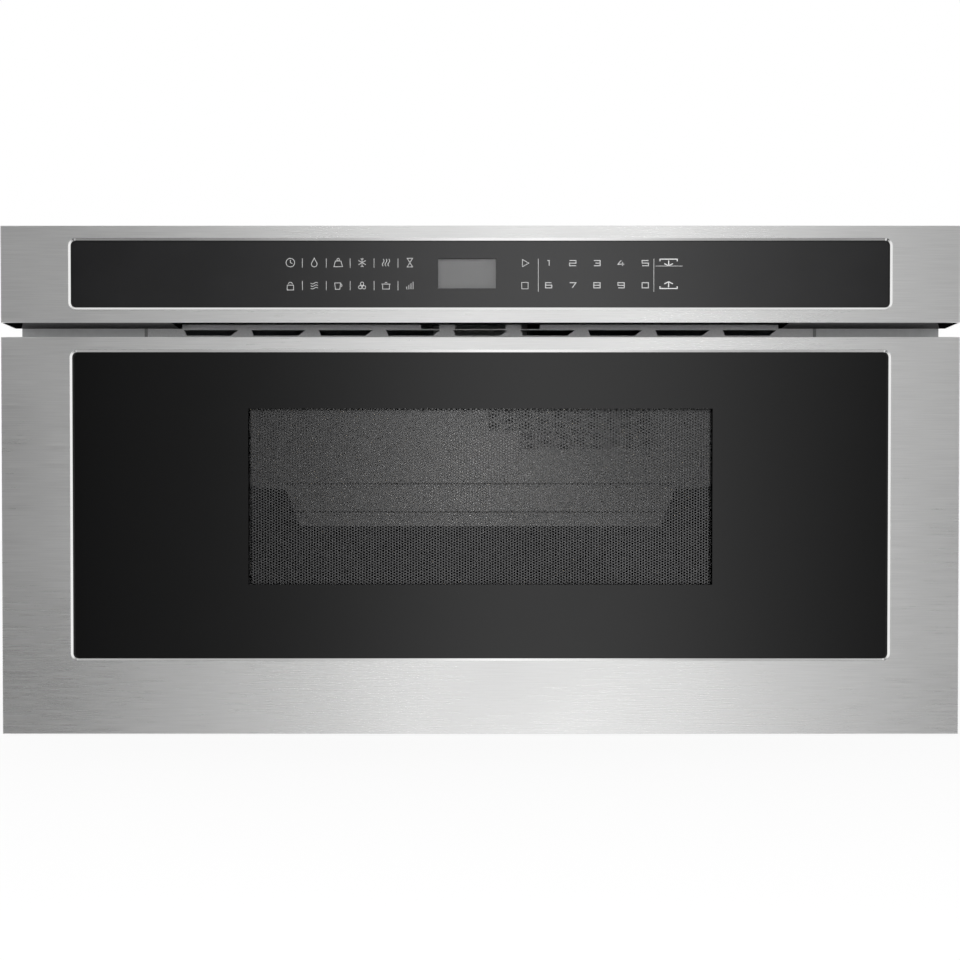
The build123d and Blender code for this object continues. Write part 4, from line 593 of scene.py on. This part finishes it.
class DRAWER_OT_touch_film(bpy.types.Operator):
    """Makes the touch film behind the control glass, with its opening for the display"""
    bl_idname = "microwave_drawer.touch_film"
    bl_label = "Cut the touch film"

    def execute(self, context):
        low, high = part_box("touch_sensor")
        outer = rounded_outline((low.x, high.x), (low.z, high.z), FILM_CORNER)
        opening = rounded_outline(DISPLAY_X, DISPLAY_Z, SHARP_CORNER)
        film = put_mesh("touch_film", *flat_ring(outer, opening, low.y, high.y), "chassis", "touch_film")
        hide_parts("touch_sensor")
        return {"FINISHED"}


# ---------------------------------------------------------------- window screen
def staggered_sheet(x, z, pitch, hole_pitch, radius, front, back, shift):
    """A sheet of cells between two limits on x. Columns stand a pitch apart and every other one is raised by
    half a hole pitch. A cell is the six-cornered area nearest its hole: its side corners lie where the
    distances to three holes are equal. The hole's corners lie on the lines from the cell's middle to its
    corners. Sheet edges that only one cell has are closed by a wall. shift is 1 where the first column is a
    raised one."""
    columns = np.arange(int(round((x[1] - x[0]) / pitch))) + shift
    rows = np.arange(int(round((z[1] - z[0]) / hole_pitch)))
    column, row = [each.ravel() for each in np.meshgrid(columns, rows, indexing="ij")]
    centre = np.stack([x[0] + (column - shift + .5) * pitch,
                       z[0] + (row + .25 + .5 * (column % 2)) * hole_pitch], 1)
    half = hole_pitch / 2
    near = pitch / 2 - half ** 2 / (2 * pitch)
    far = pitch - near
    cell = np.array([(far, 0), (near, half), (-near, half), (-far, 0), (-near, -half), (near, -half)])
    hole = cell / np.linalg.norm(cell, axis=1, keepdims=True) * radius
    count = len(centre)
    outer = (centre[:, None] + cell).reshape(-1, 2)
    inner = (centre[:, None] + hole).reshape(-1, 2)
    microns = np.round(outer / 1e-6).astype(int)
    _, first, shared = np.unique(microns, axis=0, return_index=True, return_inverse=True)
    shared = shared.reshape(count, 6)
    outer = outer[first]
    flat = np.concatenate([outer, inner])
    points = np.concatenate([at_depth(flat, front), at_depth(flat, back)])
    behind = len(flat)
    ring = len(outer) + np.arange(count * 6).reshape(count, 6)
    shared_next, ring_next = np.roll(shared, -1, 1), np.roll(ring, -1, 1)
    front_faces = np.stack([shared, shared_next, ring_next, ring], -1).reshape(-1, 4)
    walls = np.stack([ring, ring_next, ring_next + behind, ring + behind], -1).reshape(-1, 4)
    edges = np.stack([shared, shared_next], -1).reshape(-1, 2)
    key = np.sort(edges, 1)
    _, place, times = np.unique(key[:, 0] * len(outer) + key[:, 1], return_index=True, return_counts=True)
    rim = edges[place[times == 1]]
    rim_walls = np.stack([rim[:, 1], rim[:, 0], rim[:, 0] + behind, rim[:, 1] + behind], 1)
    return points, np.concatenate([front_faces, front_faces[:, ::-1] + behind, walls, rim_walls])


MARGIN_HEM = 0.0001         # how far the plain margin stands out on both sides of the screen
MARGIN_CORNER = 0.004
MARGIN_COLUMNS, MARGIN_ROWS = 2, 1.5        # how many holes it covers at the sides, above and below


class DRAWER_OT_window_screen(bpy.types.Operator):
    """Makes the perforated screen behind the drawer's window, in tiles, and the plain margin round it"""
    bl_idname = "microwave_drawer.window_screen"
    bl_label = "Perforate the window screen"

    def execute(self, context):
        settings = context.scene.microwave_drawer.window
        low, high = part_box("window_screen")
        pitch, hole_pitch = settings.column_pitch, settings.hole_pitch
        columns = 2 * math.ceil((WINDOW_X[1] + pitch) / pitch)
        rows = 2 * math.ceil((WINDOW_Z[1] - WINDOW_Z[0] + 2 * hole_pitch) / hole_pitch / 2)
        left = -columns / 2 * pitch
        middle_z = sum(WINDOW_Z) / 2
        z = (middle_z - rows / 2 * hole_pitch, middle_z + rows / 2 * hole_pitch)
        cuts = np.linspace(0, columns, settings.tiles + 1).round().astype(int)
        screen = []
        for tile, (start, stop) in enumerate(zip(cuts[:-1], cuts[1:]), 1):
            x = (left + start * pitch, left + stop * pitch)
            points, faces = staggered_sheet(x, z, pitch, hole_pitch, settings.hole_radius, low.y, high.y,
                                            start % 2)
            screen.append(put_mesh(f"window_screen_{tile}", points, faces, "drawer", "screen_steel"))
        reach, drop = -left - MARGIN_COLUMNS * pitch, MARGIN_ROWS * hole_pitch
        inner = rounded_outline((-reach, reach), (z[0] + drop, z[1] - drop), SHARP_CORNER)
        outer = rounded_outline((low.x, high.x), (low.z, high.z), MARGIN_CORNER)
        front, back = low.y - MARGIN_HEM, high.y + MARGIN_HEM
        margin = put_mesh("window_screen_margin", *flat_ring(outer, inner, front, back), "drawer",
                          "screen_steel")
        for piece in (*screen, margin):
            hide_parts("window_screen")
        return {"FINISHED"}


# ---------------------------------------------------------------- cavity, grille and body details
# The fine vent holes of the cavity's rear wall: two areas as limits on x and z, and their pattern.
VENT_AREAS = (((0.0079, 0.1824), (0.2662, 0.2888)), ((0.0411, 0.1824), (0.2472, 0.2662)))
VENT_PITCH, VENT_HOLE_PITCH, VENT_RADIUS = 0.0034, 0.0038, 0.0014
REAR_SHEET = 0.0012         # thickness of the rear wall's sheet
VENT_FRONT, VENT_BACK = 5 * PROUD, 2 * PROUD        # how far the sheet round the holes stands off the wall
SHADE_SHEET_SHORT = 0.001       # how much shorter the near-black sheet of painted shade behind the holes is, below
# Dark lines across the rear wall at its beads, as painted shadow of the beads: their heights, half their
# length and half their width.
BEAD_SHADOWS_Z = (0.1832, 0.2125)
BEAD_SHADOW_REACH = 0.2
BEAD_SHADOW_HALF = 0.0009
GRILLE_GROOVE_X = 0.2725
GRILLE_GROOVE_HALF = 0.0013
GRILLE_GROOVE_MARGIN = 0.0006
UNDERSIDE_X = ((0.245, 0.3625), (0.245, 0.3734))    # from and to, at the front and at the back
UNDERSIDE_MARGINS = (0.0005, 0.0035)                # to the housing's front and back
# The beads pressed into the top cover: their middles, half width, ends and height, and their profile as how
# far each line lies inside the edge and how high, both as shares of the height.
BEAD_X = (-0.235, 0, 0.235)
BEAD_HALF, BEAD_Y, BEAD_HEIGHT = 0.009, (-0.19, 0.25), 0.0016
BEAD_PROFILE = ((0, 0), (0.4, 0.6), (0.9, 0.93), (1.7, 1))
BEAD_CORNER_POINTS = 9
# The screw heads on the back panel, and their profile as shares of the radius and the height: a domed head
# with a round recess.
REAR_SCREW_PLACES = ((-0.338, 0.021), (0, 0.021), (0.338, 0.021), (-0.338, 0.19), (0.338, 0.19),
                     (-0.338, 0.36), (0, 0.36), (0.338, 0.36))
REAR_SCREW_RADIUS, REAR_SCREW_HEIGHT, REAR_SCREW_SIDES = 0.0042, 0.0017, 24
SCREW_PROFILE = ((1, 0.5), (0.8, 0.9), (0.45, 1), (0.4, 0.45))


def strip(x, z, front, back):
    """A flat strip with hardly rounded corners."""
    outline = rounded_outline(x, z, min(x[1] - x[0], z[1] - z[0]) / 8, 3)
    return loft([at_depth(outline, back), at_depth(outline, front)])


class DRAWER_OT_rear_vents(bpy.types.Operator):
    """Makes the fine vent holes of the cavity's rear wall, a near-black sheet behind them as painted shade,
    and dark lines at the wall's beads as their painted shadow
    """
    bl_idname = "microwave_drawer.rear_vents"
    bl_label = "Perforate the rear wall"

    def execute(self, context):
        low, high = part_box("cavity_rear_wall")
        wall = high.y - REAR_SHEET
        sheets = []
        for x, z in VENT_AREAS:
            points, faces = staggered_sheet(x, z, VENT_PITCH, VENT_HOLE_PITCH, VENT_RADIUS, wall - VENT_FRONT,
                                            wall - VENT_BACK, 0)
            sheets.append((points, faces.tolist()))
        put_mesh("rear_vent_sheets", *joined(sheets), "chassis", "cavity_paint")
        # A near-black sheet behind the vent holes: painted shade, for the dark seen through them.
        shade = make_finish("vent_shade", (.012, .012, .012), .3, .7, .05, size=.002)
        shade_sheets = [strip(x, (z[0] + SHADE_SHEET_SHORT, z[1]), wall - VENT_BACK, wall) for x, z in VENT_AREAS]
        put_mesh("rear_vent_backing", *joined(shade_sheets), "chassis", "cavity_paint", [shade])
        # Thin dark strips at the wall's beads: painted shadow of the beads.
        shadow_paint = make_finish("groove_shade", (.02, .02, .02), .2, .6, .05, size=(.01, .002, .002))
        lines = [strip((-BEAD_SHADOW_REACH, BEAD_SHADOW_REACH), (z - BEAD_SHADOW_HALF, z + BEAD_SHADOW_HALF), low.y - PROUD,
                       low.y + PROUD) for z in BEAD_SHADOWS_Z]
        put_mesh("rear_wall_grooves", *joined(lines), "chassis", "cavity_paint", [shadow_paint])
        return {"FINISHED"}


class DRAWER_OT_grille_ends(bpy.types.Operator):
    """Makes a thin dark upright strip near each end of the vent grille"""
    bl_idname = "microwave_drawer.grille_ends"
    bl_label = "Groove the grille's ends"

    def execute(self, context):
        low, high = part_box("vent_grille")
        shade = make_finish("grille_groove_paint", (.2, .2, .2), .15, .5, .05, size=.002)
        z = (low.z + GRILLE_GROOVE_MARGIN, high.z - GRILLE_GROOVE_MARGIN)
        lines = [strip((x - GRILLE_GROOVE_HALF, x + GRILLE_GROOVE_HALF), z, low.y - PROUD, low.y + PROUD)
                 for x in (-GRILLE_GROOVE_X, GRILLE_GROOVE_X)]
        put_mesh("grille_end_grooves", *joined(lines), "chassis", "grille_paint", [shade])
        return {"FINISHED"}


class DRAWER_OT_underside(bpy.types.Operator):
    """Makes a grey plate under each end of the control housing. Its grey is painted shade: it stands in for
    the shaded upper band of the flange seen there
    """
    bl_idname = "microwave_drawer.underside"
    bl_label = "Line the housing's underside"

    def execute(self, context):
        low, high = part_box("control_housing")
        # The plates' grey is painted shade, standing in for the flange's upper band in the shadow of the
        # panel.
        band_shade = make_finish("underside_grey", (.14, .14, .142), .1, .7, .05, size=.003,
                           Specular_IOR_Level=0.0)
        (front_from, front_to), (back_from, back_to) = UNDERSIDE_X
        front, back = low.y + UNDERSIDE_MARGINS[0], high.y - UNDERSIDE_MARGINS[1]
        corners = ((front_from, front), (front_to, front), (back_to, back), (back_from, back))
        plates = []
        for side in (-1, 1):
            outline = np.array([(side * x, y) for x, y in corners])[::side]
            plates.append(loft([level(outline, z) for z in (low.z - PROUD, low.z)]))
        put_mesh("housing_underside", *joined(plates), "chassis", "black_plastic", [band_shade])
        return {"FINISHED"}


class DRAWER_OT_body_details(bpy.types.Operator):
    """Makes the beads pressed into the top cover and the screw heads on the back panel"""
    bl_idname = "microwave_drawer.body_details"
    bl_label = "Bead and screw the body"

    def execute(self, context):
        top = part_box("top_cover")[1].z
        beads = []
        for x in BEAD_X:
            lines = [(0, top - PROUD)]
            lines += [(inside * BEAD_HEIGHT, top + share * BEAD_HEIGHT) for inside, share in BEAD_PROFILE]
            rings = []
            for inside, z in lines:
                half = BEAD_HALF - inside
                outline = rounded_outline((x - half, x + half), (BEAD_Y[0] + inside, BEAD_Y[1] - inside),
                                          half - PROUD, BEAD_CORNER_POINTS)
                rings.append(level(outline, z))
            beads.append(loft(rings))
        put_mesh("top_beads", *joined(beads), "chassis", "galvanised_steel")
        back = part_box("back_panel")[1].y
        lines = [(REAR_SCREW_RADIUS, back - PROUD)]
        lines += [(across * REAR_SCREW_RADIUS, back + out * REAR_SCREW_HEIGHT)
                  for across, out in SCREW_PROFILE]
        turn = (360, 360 / REAR_SCREW_SIDES)        # clockwise, so that the faces point outwards
        heads = [loft([at_depth(arc(radius, *turn, place, REAR_SCREW_SIDES), y) for radius, y in lines])
                 for place in REAR_SCREW_PLACES]
        put_mesh("rear_screw_heads", *joined(heads), "chassis", "zinc_screws")
        return {"FINISHED"}


# ---------------------------------------------------------------- legends
def arc(radius, start, stop, middle=(0, 0), count=13):
    """Points on a circle between two angles in degrees."""
    angle = np.radians(np.linspace(start, stop, count))
    return np.stack([middle[0] + radius * np.cos(angle), middle[1] + radius * np.sin(angle)], 1)


def ring(radius, middle=(0, 0), count=16):
    """A closed circle, marked as looped."""
    return ("loop", arc(radius, 0, 360 * (1 - 1 / count), middle, count))


def wave(height, middle=(0, 0), upright=False):
    """A sine line from -0.8 to 0.8."""
    along = np.linspace(-.8, .8, 13)
    across = height * np.sin(along / .8 * np.pi)
    pair = (middle[0] + across, middle[1] + along) if upright else (middle[0] + along, middle[1] + across)
    return np.stack(pair, 1)


def spokes(count, inner, outer):
    """Straight lines out from the middle at even angles."""
    angles = np.radians(90 + 360 / count * np.arange(count))
    direction = np.stack([np.cos(angles), np.sin(angles)], 1)
    return [np.stack([inner * each, outer * each]) for each in direction]


# Each digit in a box from 0 to 1 both ways, in wide squared strokes.
DIGITS = {
    "1": [[(.3, 1), (.58, 1), (.58, 0)]],
    "2": [[(0, 1), (1, 1), (1, .5), (0, .5), (0, 0), (1, 0)]],
    "3": [[(0, 1), (1, 1), (1, 0), (0, 0)], [(.25, .5), (.93, .5)]],
    "4": [[(.5, 1), (0, .28), (1, .28)], [(.72, .66), (.72, 0)]],
    "5": [[(1, 1), (0, 1), (0, .5), (1, .5), (1, 0), (0, 0)]],
    "6": [[(.95, 1), (0, 1), (0, 0), (1, 0), (1, .52), (.07, .52)]],
    "7": [[(0, 1), (1, 1), (.4, 0)]],
    "8": [("loop", [(0, 0), (1, 0), (1, 1), (0, 1)]), [(.07, .5), (.93, .5)]],
    "9": [[(.93, .48), (0, .48), (0, 1), (1, 1), (1, 0), (.05, 0)]],
    "0": [("loop", [(0, 0), (1, 0), (1, 1), (0, 1)])],
}
# Each sign in a box from -1 to 1 both ways. All are common signs that name nothing.
SIGNS = {
    "clock": [ring(.95), [(0, .6), (0, 0), (.45, -.2)]],
    "drop": [("loop", np.concatenate([arc(.62, -205, 25, (0, -.32)), [(0, 1)]]))],
    "weight": [("loop", [(-.95, -.9), (.95, -.9), (.6, .35), (-.6, .35)]), ring(.28, (0, .66), 10)],
    "flake": spokes(6, 0, .95) + [[(-.3, .9), (0, .6), (.3, .9)], [(-.3, -.9), (0, -.6), (.3, -.9)]],
    "steam": [wave(.2, (offset, 0), True) for offset in (-.62, 0, .62)],
    "hourglass": [("loop", [(-.6, .95), (.6, .95), (-.6, -.95), (.6, -.95)])],
    "padlock": [("loop", [(-.7, -.95), (.7, -.95), (.7, .1), (-.7, .1)]), arc(.45, 0, 180, (0, .3))],
    "ripples": [wave(.18, (0, offset)) for offset in (-.55, 0, .55)],
    "cup": [[(-.8, .6), (-.6, -.8), (.35, -.8), (.55, .6), (-.8, .6)], arc(.32, -75, 75, (.5, .05), 9)],
    "kernels": [ring(.38, (-.42, -.35), 10), ring(.38, (.42, -.35), 10), ring(.38, (0, .42), 10)],
    "pot": [[(-.75, .35), (-.75, -.75), (.75, -.75), (.75, .35)], [(-1, .35), (1, .35)],
            [(-.25, .7), (.25, .7)]],
    "bars": [[(offset, -.8), (offset, top)]
             for offset, top in ((-.7, -.2), (-.23, .15), (.23, .5), (.7, .85))],
    "play": [("loop", [(-.55, -.8), (.85, 0), (-.55, .8)])],
    "stop": [("loop", [(-.7, -.7), (.7, -.7), (.7, .7), (-.7, .7)])],
    "drawer_out": [[(-1, .35), (-1, .9), (1, .9), (1, .35)], [(0, .55), (0, -.75)],
                   [(-.5, -.25), (0, -.8), (.5, -.25)]],
    "drawer_in": [[(-1, -.35), (-1, -.9), (1, -.9), (1, -.35)], [(0, -.6), (0, .8)],
                  [(-.5, .3), (0, .85), (.5, .3)]],
}
# The middles of the digits and signs on the panel, in millimetres: the first column, the step to the next and
# the heights of the two rows.
DIGIT_LEFT, DIGIT_STEP, DIGIT_ROWS = 54.1, 19.15, (375.6, 358.1)
SIGN_LEFT, SIGN_STEP, SIGN_ROWS = -150.6, 18.95, (376.0, 357.8)
PLAY_X = 35.3
DRAWER_SIGN_X, DRAWER_SIGN_ROWS = 149.2, (376.0, 358.3)
WIDE_SIGN = (1.9, 0.85)             # width and height of the drawer signs in sign sizes
SHORT_LINES_X = [-141.1 + SIGN_STEP * column for column in range(5)]
SHORT_LINES_Z, SHORT_LINE = (372.0, 354.2), 7.3     # their lower ends, their length
LONG_LINES_X, LONG_LINES_Z = (45.9, 137.5), (353, 379.1)
UNDERLINE_X, UNDERLINE_Z = (138.8, 160.2), 373.3
FINE_STROKE, SIGN_STROKE, WIDE_STROKE = 0.6, 0.69, 1.1      # as parts of a digit's stroke
BRIGHT_INK = 1.4                    # how much brighter the drawer signs are printed
PRINT_THICKNESS = 0.00004


def rows_of(rows, left, step, heights):
    """Names with their places, column by column in each row."""
    return [(name, (left + step * column, height))
            for names, height in zip(rows, heights) for column, name in enumerate(names)]


DIGIT_PLACES = rows_of(("12345", "67890"), DIGIT_LEFT, DIGIT_STEP, DIGIT_ROWS)
SIGN_NAMES = (("clock", "drop", "weight", "flake", "steam", "hourglass"),
              ("padlock", "ripples", "cup", "kernels", "pot", "bars"))
SIGN_PLACES = rows_of(SIGN_NAMES, SIGN_LEFT, SIGN_STEP, SIGN_ROWS)
SIGN_PLACES += [("play", (PLAY_X, DIGIT_ROWS[0])), ("stop", (PLAY_X, SIGN_ROWS[1]))]
WIDE_SIGN_PLACES = rows_of((("drawer_out",), ("drawer_in",)), DRAWER_SIGN_X, 0, DRAWER_SIGN_ROWS)


def printed(drawings, stroke):
    """Bars along every path of the drawings, a few hundredths of a millimetre proud of the control glass. A
    drawing is its paths, their scale and the place of their origin."""
    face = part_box("control_glass")[0].y
    solids = []
    for paths, scale, place in drawings:
        for path in paths:
            looped = isinstance(path, tuple) and isinstance(path[0], str)
            line = np.asarray(path[1] if looped else path, float) * scale + place
            solids.append(bar_along(line, stroke, face - PRINT_THICKNESS, face, looped))
    return joined(solids)


class DRAWER_OT_legends(bpy.types.Operator):
    """Prints digits, plain signs and dividing lines on the control glass"""
    bl_idname = "microwave_drawer.legends"
    bl_label = "Print the legends"

    def execute(self, context):
        settings = context.scene.microwave_drawer.legend
        tone, grain = np.array(settings.tone), .0008
        ink = make_finish("legend_ink", tone, .06, .5, .05, size=grain)
        bright_ink = make_finish("bright_ink", tone * BRIGHT_INK, .06, .5, .05, size=grain)
        size = np.array([settings.digit_width, settings.digit_height])
        digits = [(DIGITS[name], size, np.array(place) * MM - size / 2) for name, place in DIGIT_PLACES]
        signs = [(SIGNS[name], settings.sign_size, np.array(place) * MM) for name, place in SIGN_PLACES]
        wide = [(SIGNS[name], np.array(WIDE_SIGN) * settings.sign_size, np.array(place) * MM)
                for name, place in WIDE_SIGN_PLACES]
        short = [[(x, low), (x, low + SHORT_LINE)] for x in SHORT_LINES_X for low in SHORT_LINES_Z]
        long = [[(x, z) for z in LONG_LINES_Z] for x in LONG_LINES_X]
        under = [[(x, UNDERLINE_Z) for x in UNDERLINE_X]]
        lines = [(short + long + under, MM, 0.0)]
        for name, drawings, part, print_ink in (
                ("digits", digits, 1, ink), ("signs", signs, SIGN_STROKE, ink),
                ("drawer_signs", wide, WIDE_STROKE, bright_ink), ("divider_lines", lines, FINE_STROKE, ink)):
            points, faces = printed(drawings, part * settings.stroke)
            put_mesh(name, points, faces, "chassis", "black_glass", [print_ink])
        return {"FINISHED"}


# ---------------------------------------------------------------- stage
BRIGHTEST = 2.0             # a colour ramp stops at 1, so its values are kept as parts of this
# The room in front of the object from its left (0) over the middle (.5) to its right (1), and its brightness.
ROOM_STOPS = ((0, 1.0), (.1, 1.0), (.2, .45), (.33, .03), (.375, .03), (.4, .22), (.425, .29), (.45, .47),
              (.475, .79), (.5, 1.18), (.525, 1.27), (.55, 1.03), (.575, .63), (.6, .39), (.63, .09),
              (.67, .1), (.8, .5), (.9, 1.0), (1, 1.0))
PLAIN_ROOM = 0.9            # brightness above, below and behind
STEEP = (0.8, 0.97)         # height of a direction at which the plain part begins and is full
BEHIND_EDGE = 0.02          # half the width of the soft change between front and behind
FLOOR_REACH = 30.0
FLOOR_WHITE = 0.88          # how much of the floor is seen as white
FLOOR_ROUGHNESS = 0.9
DUST_SIZE = 0.4
DUST_TONE = 0.99            # as a part of the floor's tone
SENSOR_WIDTH = 36           # millimetres
CLIP_START = 0.01
CAMERA_X = -0.0003
# Place, aim and size of each lamp, and the setting that holds its power.
LAMPS = {
    "soft_lamp": ((-1.1, -1.9, 2.1), (0, 0, .2), 1.6, "lamp_power"),
    "front_lamp": ((0, -1.9, .4), (0, 0, .33), .6, "front_power"),
    "cavity_lamp": ((.005, -.1, .24), (.005, .15, .24), .12, "cavity_power"),
}


def room_light(brightness):
    """The room by direction. Seen straight it is white. As light and in reflections it is plain above, below
    and behind the object, and in front it is bright in the middle, dark to either side and bright again far
    out."""
    world = bpy.data.worlds.new("room")
    bpy.context.scene.world = world
    world.use_nodes = True
    nodes, links = world.node_tree.nodes, world.node_tree.links
    direction = nodes.new("ShaderNodeTexCoord").outputs["Generated"]
    flattened = worked_out(nodes, links, "MULTIPLY", direction, (1, 1, 0), kind="VectorMath")
    level_direction = worked_out(nodes, links, "NORMALIZE", flattened, kind="VectorMath")
    level_parts, parts = nodes.new("ShaderNodeSeparateXYZ"), nodes.new("ShaderNodeSeparateXYZ")
    links.new(level_direction, level_parts.inputs["Vector"])
    links.new(direction, parts.inputs["Vector"])
    ramp = nodes.new("ShaderNodeValToRGB")
    ramp.color_ramp.interpolation = "B_SPLINE"
    while len(ramp.color_ramp.elements) < len(ROOM_STOPS):
        ramp.color_ramp.elements.new(.5)
    for element, (position, value) in zip(ramp.color_ramp.elements, ROOM_STOPS):
        element.position = position
        element.color = [value / BRIGHTEST] * 3 + [1]
    links.new(ranged(nodes, links, level_parts.outputs["X"], 0, 1, -1, 1), ramp.inputs["Fac"])
    lit = worked_out(nodes, links, "MULTIPLY", ramp.outputs["Color"], (BRIGHTEST,) * 3, kind="VectorMath")
    height = worked_out(nodes, links, "ABSOLUTE", parts.outputs["Z"])
    steep = ranged(nodes, links, height, 0, 1, *STEEP)
    behind = ranged(nodes, links, level_parts.outputs["Y"], 0, 1, -BEHIND_EDGE, BEHIND_EDGE)
    away = worked_out(nodes, links, "MAXIMUM", steep, behind)
    light = between(nodes, links, away, lit, (PLAIN_ROOM,) * 3)
    path = nodes.new("ShaderNodeLightPath")
    seen = worked_out(nodes, links, "MAXIMUM", path.outputs["Is Camera Ray"],
                      path.outputs["Is Transmission Ray"])
    background = nodes["Background"]
    links.new(between(nodes, links, seen, light, (1, 1, 1)), background.inputs["Color"])
    background.inputs["Strength"].default_value = brightness


def floor_finish(tone):
    """A pale floor. Seen straight it is mostly white, so that only a soft shadow shows on it."""
    finish, nodes, links, shader = new_finish("floor")
    dust = ranged(nodes, links, object_pattern(nodes, links, "noise", DUST_SIZE), 0, 1)
    tone = np.array(tone)
    links.new(between(nodes, links, dust, tone * DUST_TONE, tone), shader.inputs["Base Color"])
    shader.inputs["Roughness"].default_value = FLOOR_ROUGHNESS
    white, path = nodes.new("ShaderNodeEmission"), nodes.new("ShaderNodeLightPath")
    share = worked_out(nodes, links, "MULTIPLY", path.outputs["Is Camera Ray"], FLOOR_WHITE)
    mixed_surface(nodes, links, share, shader, white)
    return finish


def area_lamp(name, place, aim, size, power):
    """A soft square lamp that looks at a point and shows in no reflection."""
    lamp = bpy.data.lights.new(name, "AREA")
    lamp.size, lamp.energy = size, power
    piece = bpy.data.objects.new(name, lamp)
    piece.location = place
    piece.rotation_euler = (Vector(aim) - Vector(place)).to_track_quat("-Z", "Y").to_euler()
    piece.visible_glossy = False
    piece.visible_camera = False
    bpy.context.scene.collection.objects.link(piece)


class DRAWER_OT_stage(bpy.types.Operator):
    """Sets up the floor, the room's light, the lamps and the camera at the photograph's viewing angle"""
    bl_idname = "microwave_drawer.stage"
    bl_label = "Set the stage"

    def execute(self, context):
        settings = context.scene.microwave_drawer.stage
        context.scene.view_settings.view_transform = "Standard"
        corners = [(x * FLOOR_REACH, y * FLOOR_REACH, 0) for x, y in ((-1, -1), (1, -1), (1, 1), (-1, 1))]
        sheet = bpy.data.meshes.new("floor")
        sheet.from_pydata(corners, [], [(0, 1, 2, 3)])
        sheet.materials.append(floor_finish(settings.floor_tone))
        floor = bpy.data.objects.new("floor", sheet)
        floor.visible_glossy = False
        context.scene.collection.objects.link(floor)
        room_light(settings.world_level)
        for name, (place, aim, size, power) in LAMPS.items():
            area_lamp(name, place, aim, size, getattr(settings, power))
        camera = bpy.data.objects.new("camera", bpy.data.cameras.new("camera"))
        camera.data.lens = settings.lens
        camera.data.sensor_width = SENSOR_WIDTH
        camera.data.shift_y = settings.shift
        camera.data.clip_start = CLIP_START
        camera.location = (CAMERA_X, CAD_BOX[0].y - settings.distance, settings.eye_height)
        camera.rotation_euler = (math.pi / 2 - settings.pitch, 0, 0)
        context.scene.collection.objects.link(camera)
        context.scene.camera = camera
        return {"FINISHED"}


# ---------------------------------------------------------------- panel and main
OPERATORS = (DRAWER_OT_finishes, DRAWER_OT_glass, DRAWER_OT_trims, DRAWER_OT_touch_film,
             DRAWER_OT_window_screen, DRAWER_OT_rear_vents, DRAWER_OT_grille_ends, DRAWER_OT_underside,
             DRAWER_OT_body_details, DRAWER_OT_legends, DRAWER_OT_stage)


class DRAWER_PT_sidebar(bpy.types.Panel):
    """Lists the operators of the microwave drawer"""
    bl_idname = "DRAWER_PT_sidebar"
    bl_label = "Microwave drawer"
    bl_space_type = "VIEW_3D"
    bl_region_type = "UI"
    bl_category = "Microwave drawer"

    def draw(self, context):
        for operator in OPERATORS:
            self.layout.operator(operator.bl_idname)


CLASSES = (DrawerSteelSettings, DrawerWindowSettings, DrawerGlassSettings, DrawerLegendSettings,
           DrawerStageSettings, DrawerSettings, *OPERATORS, DRAWER_PT_sidebar)


def register():
    for each in CLASSES:
        bpy.utils.register_class(each)
    bpy.types.Scene.microwave_drawer = PointerProperty(type=DrawerSettings)


def unregister():
    del bpy.types.Scene.microwave_drawer
    for each in reversed(CLASSES):
        bpy.utils.unregister_class(each)


def main():
    register()
    for operator in OPERATORS:
        group, action = operator.bl_idname.split(".")
        getattr(getattr(bpy.ops, group), action)()


if __name__ == "__main__":
    main()
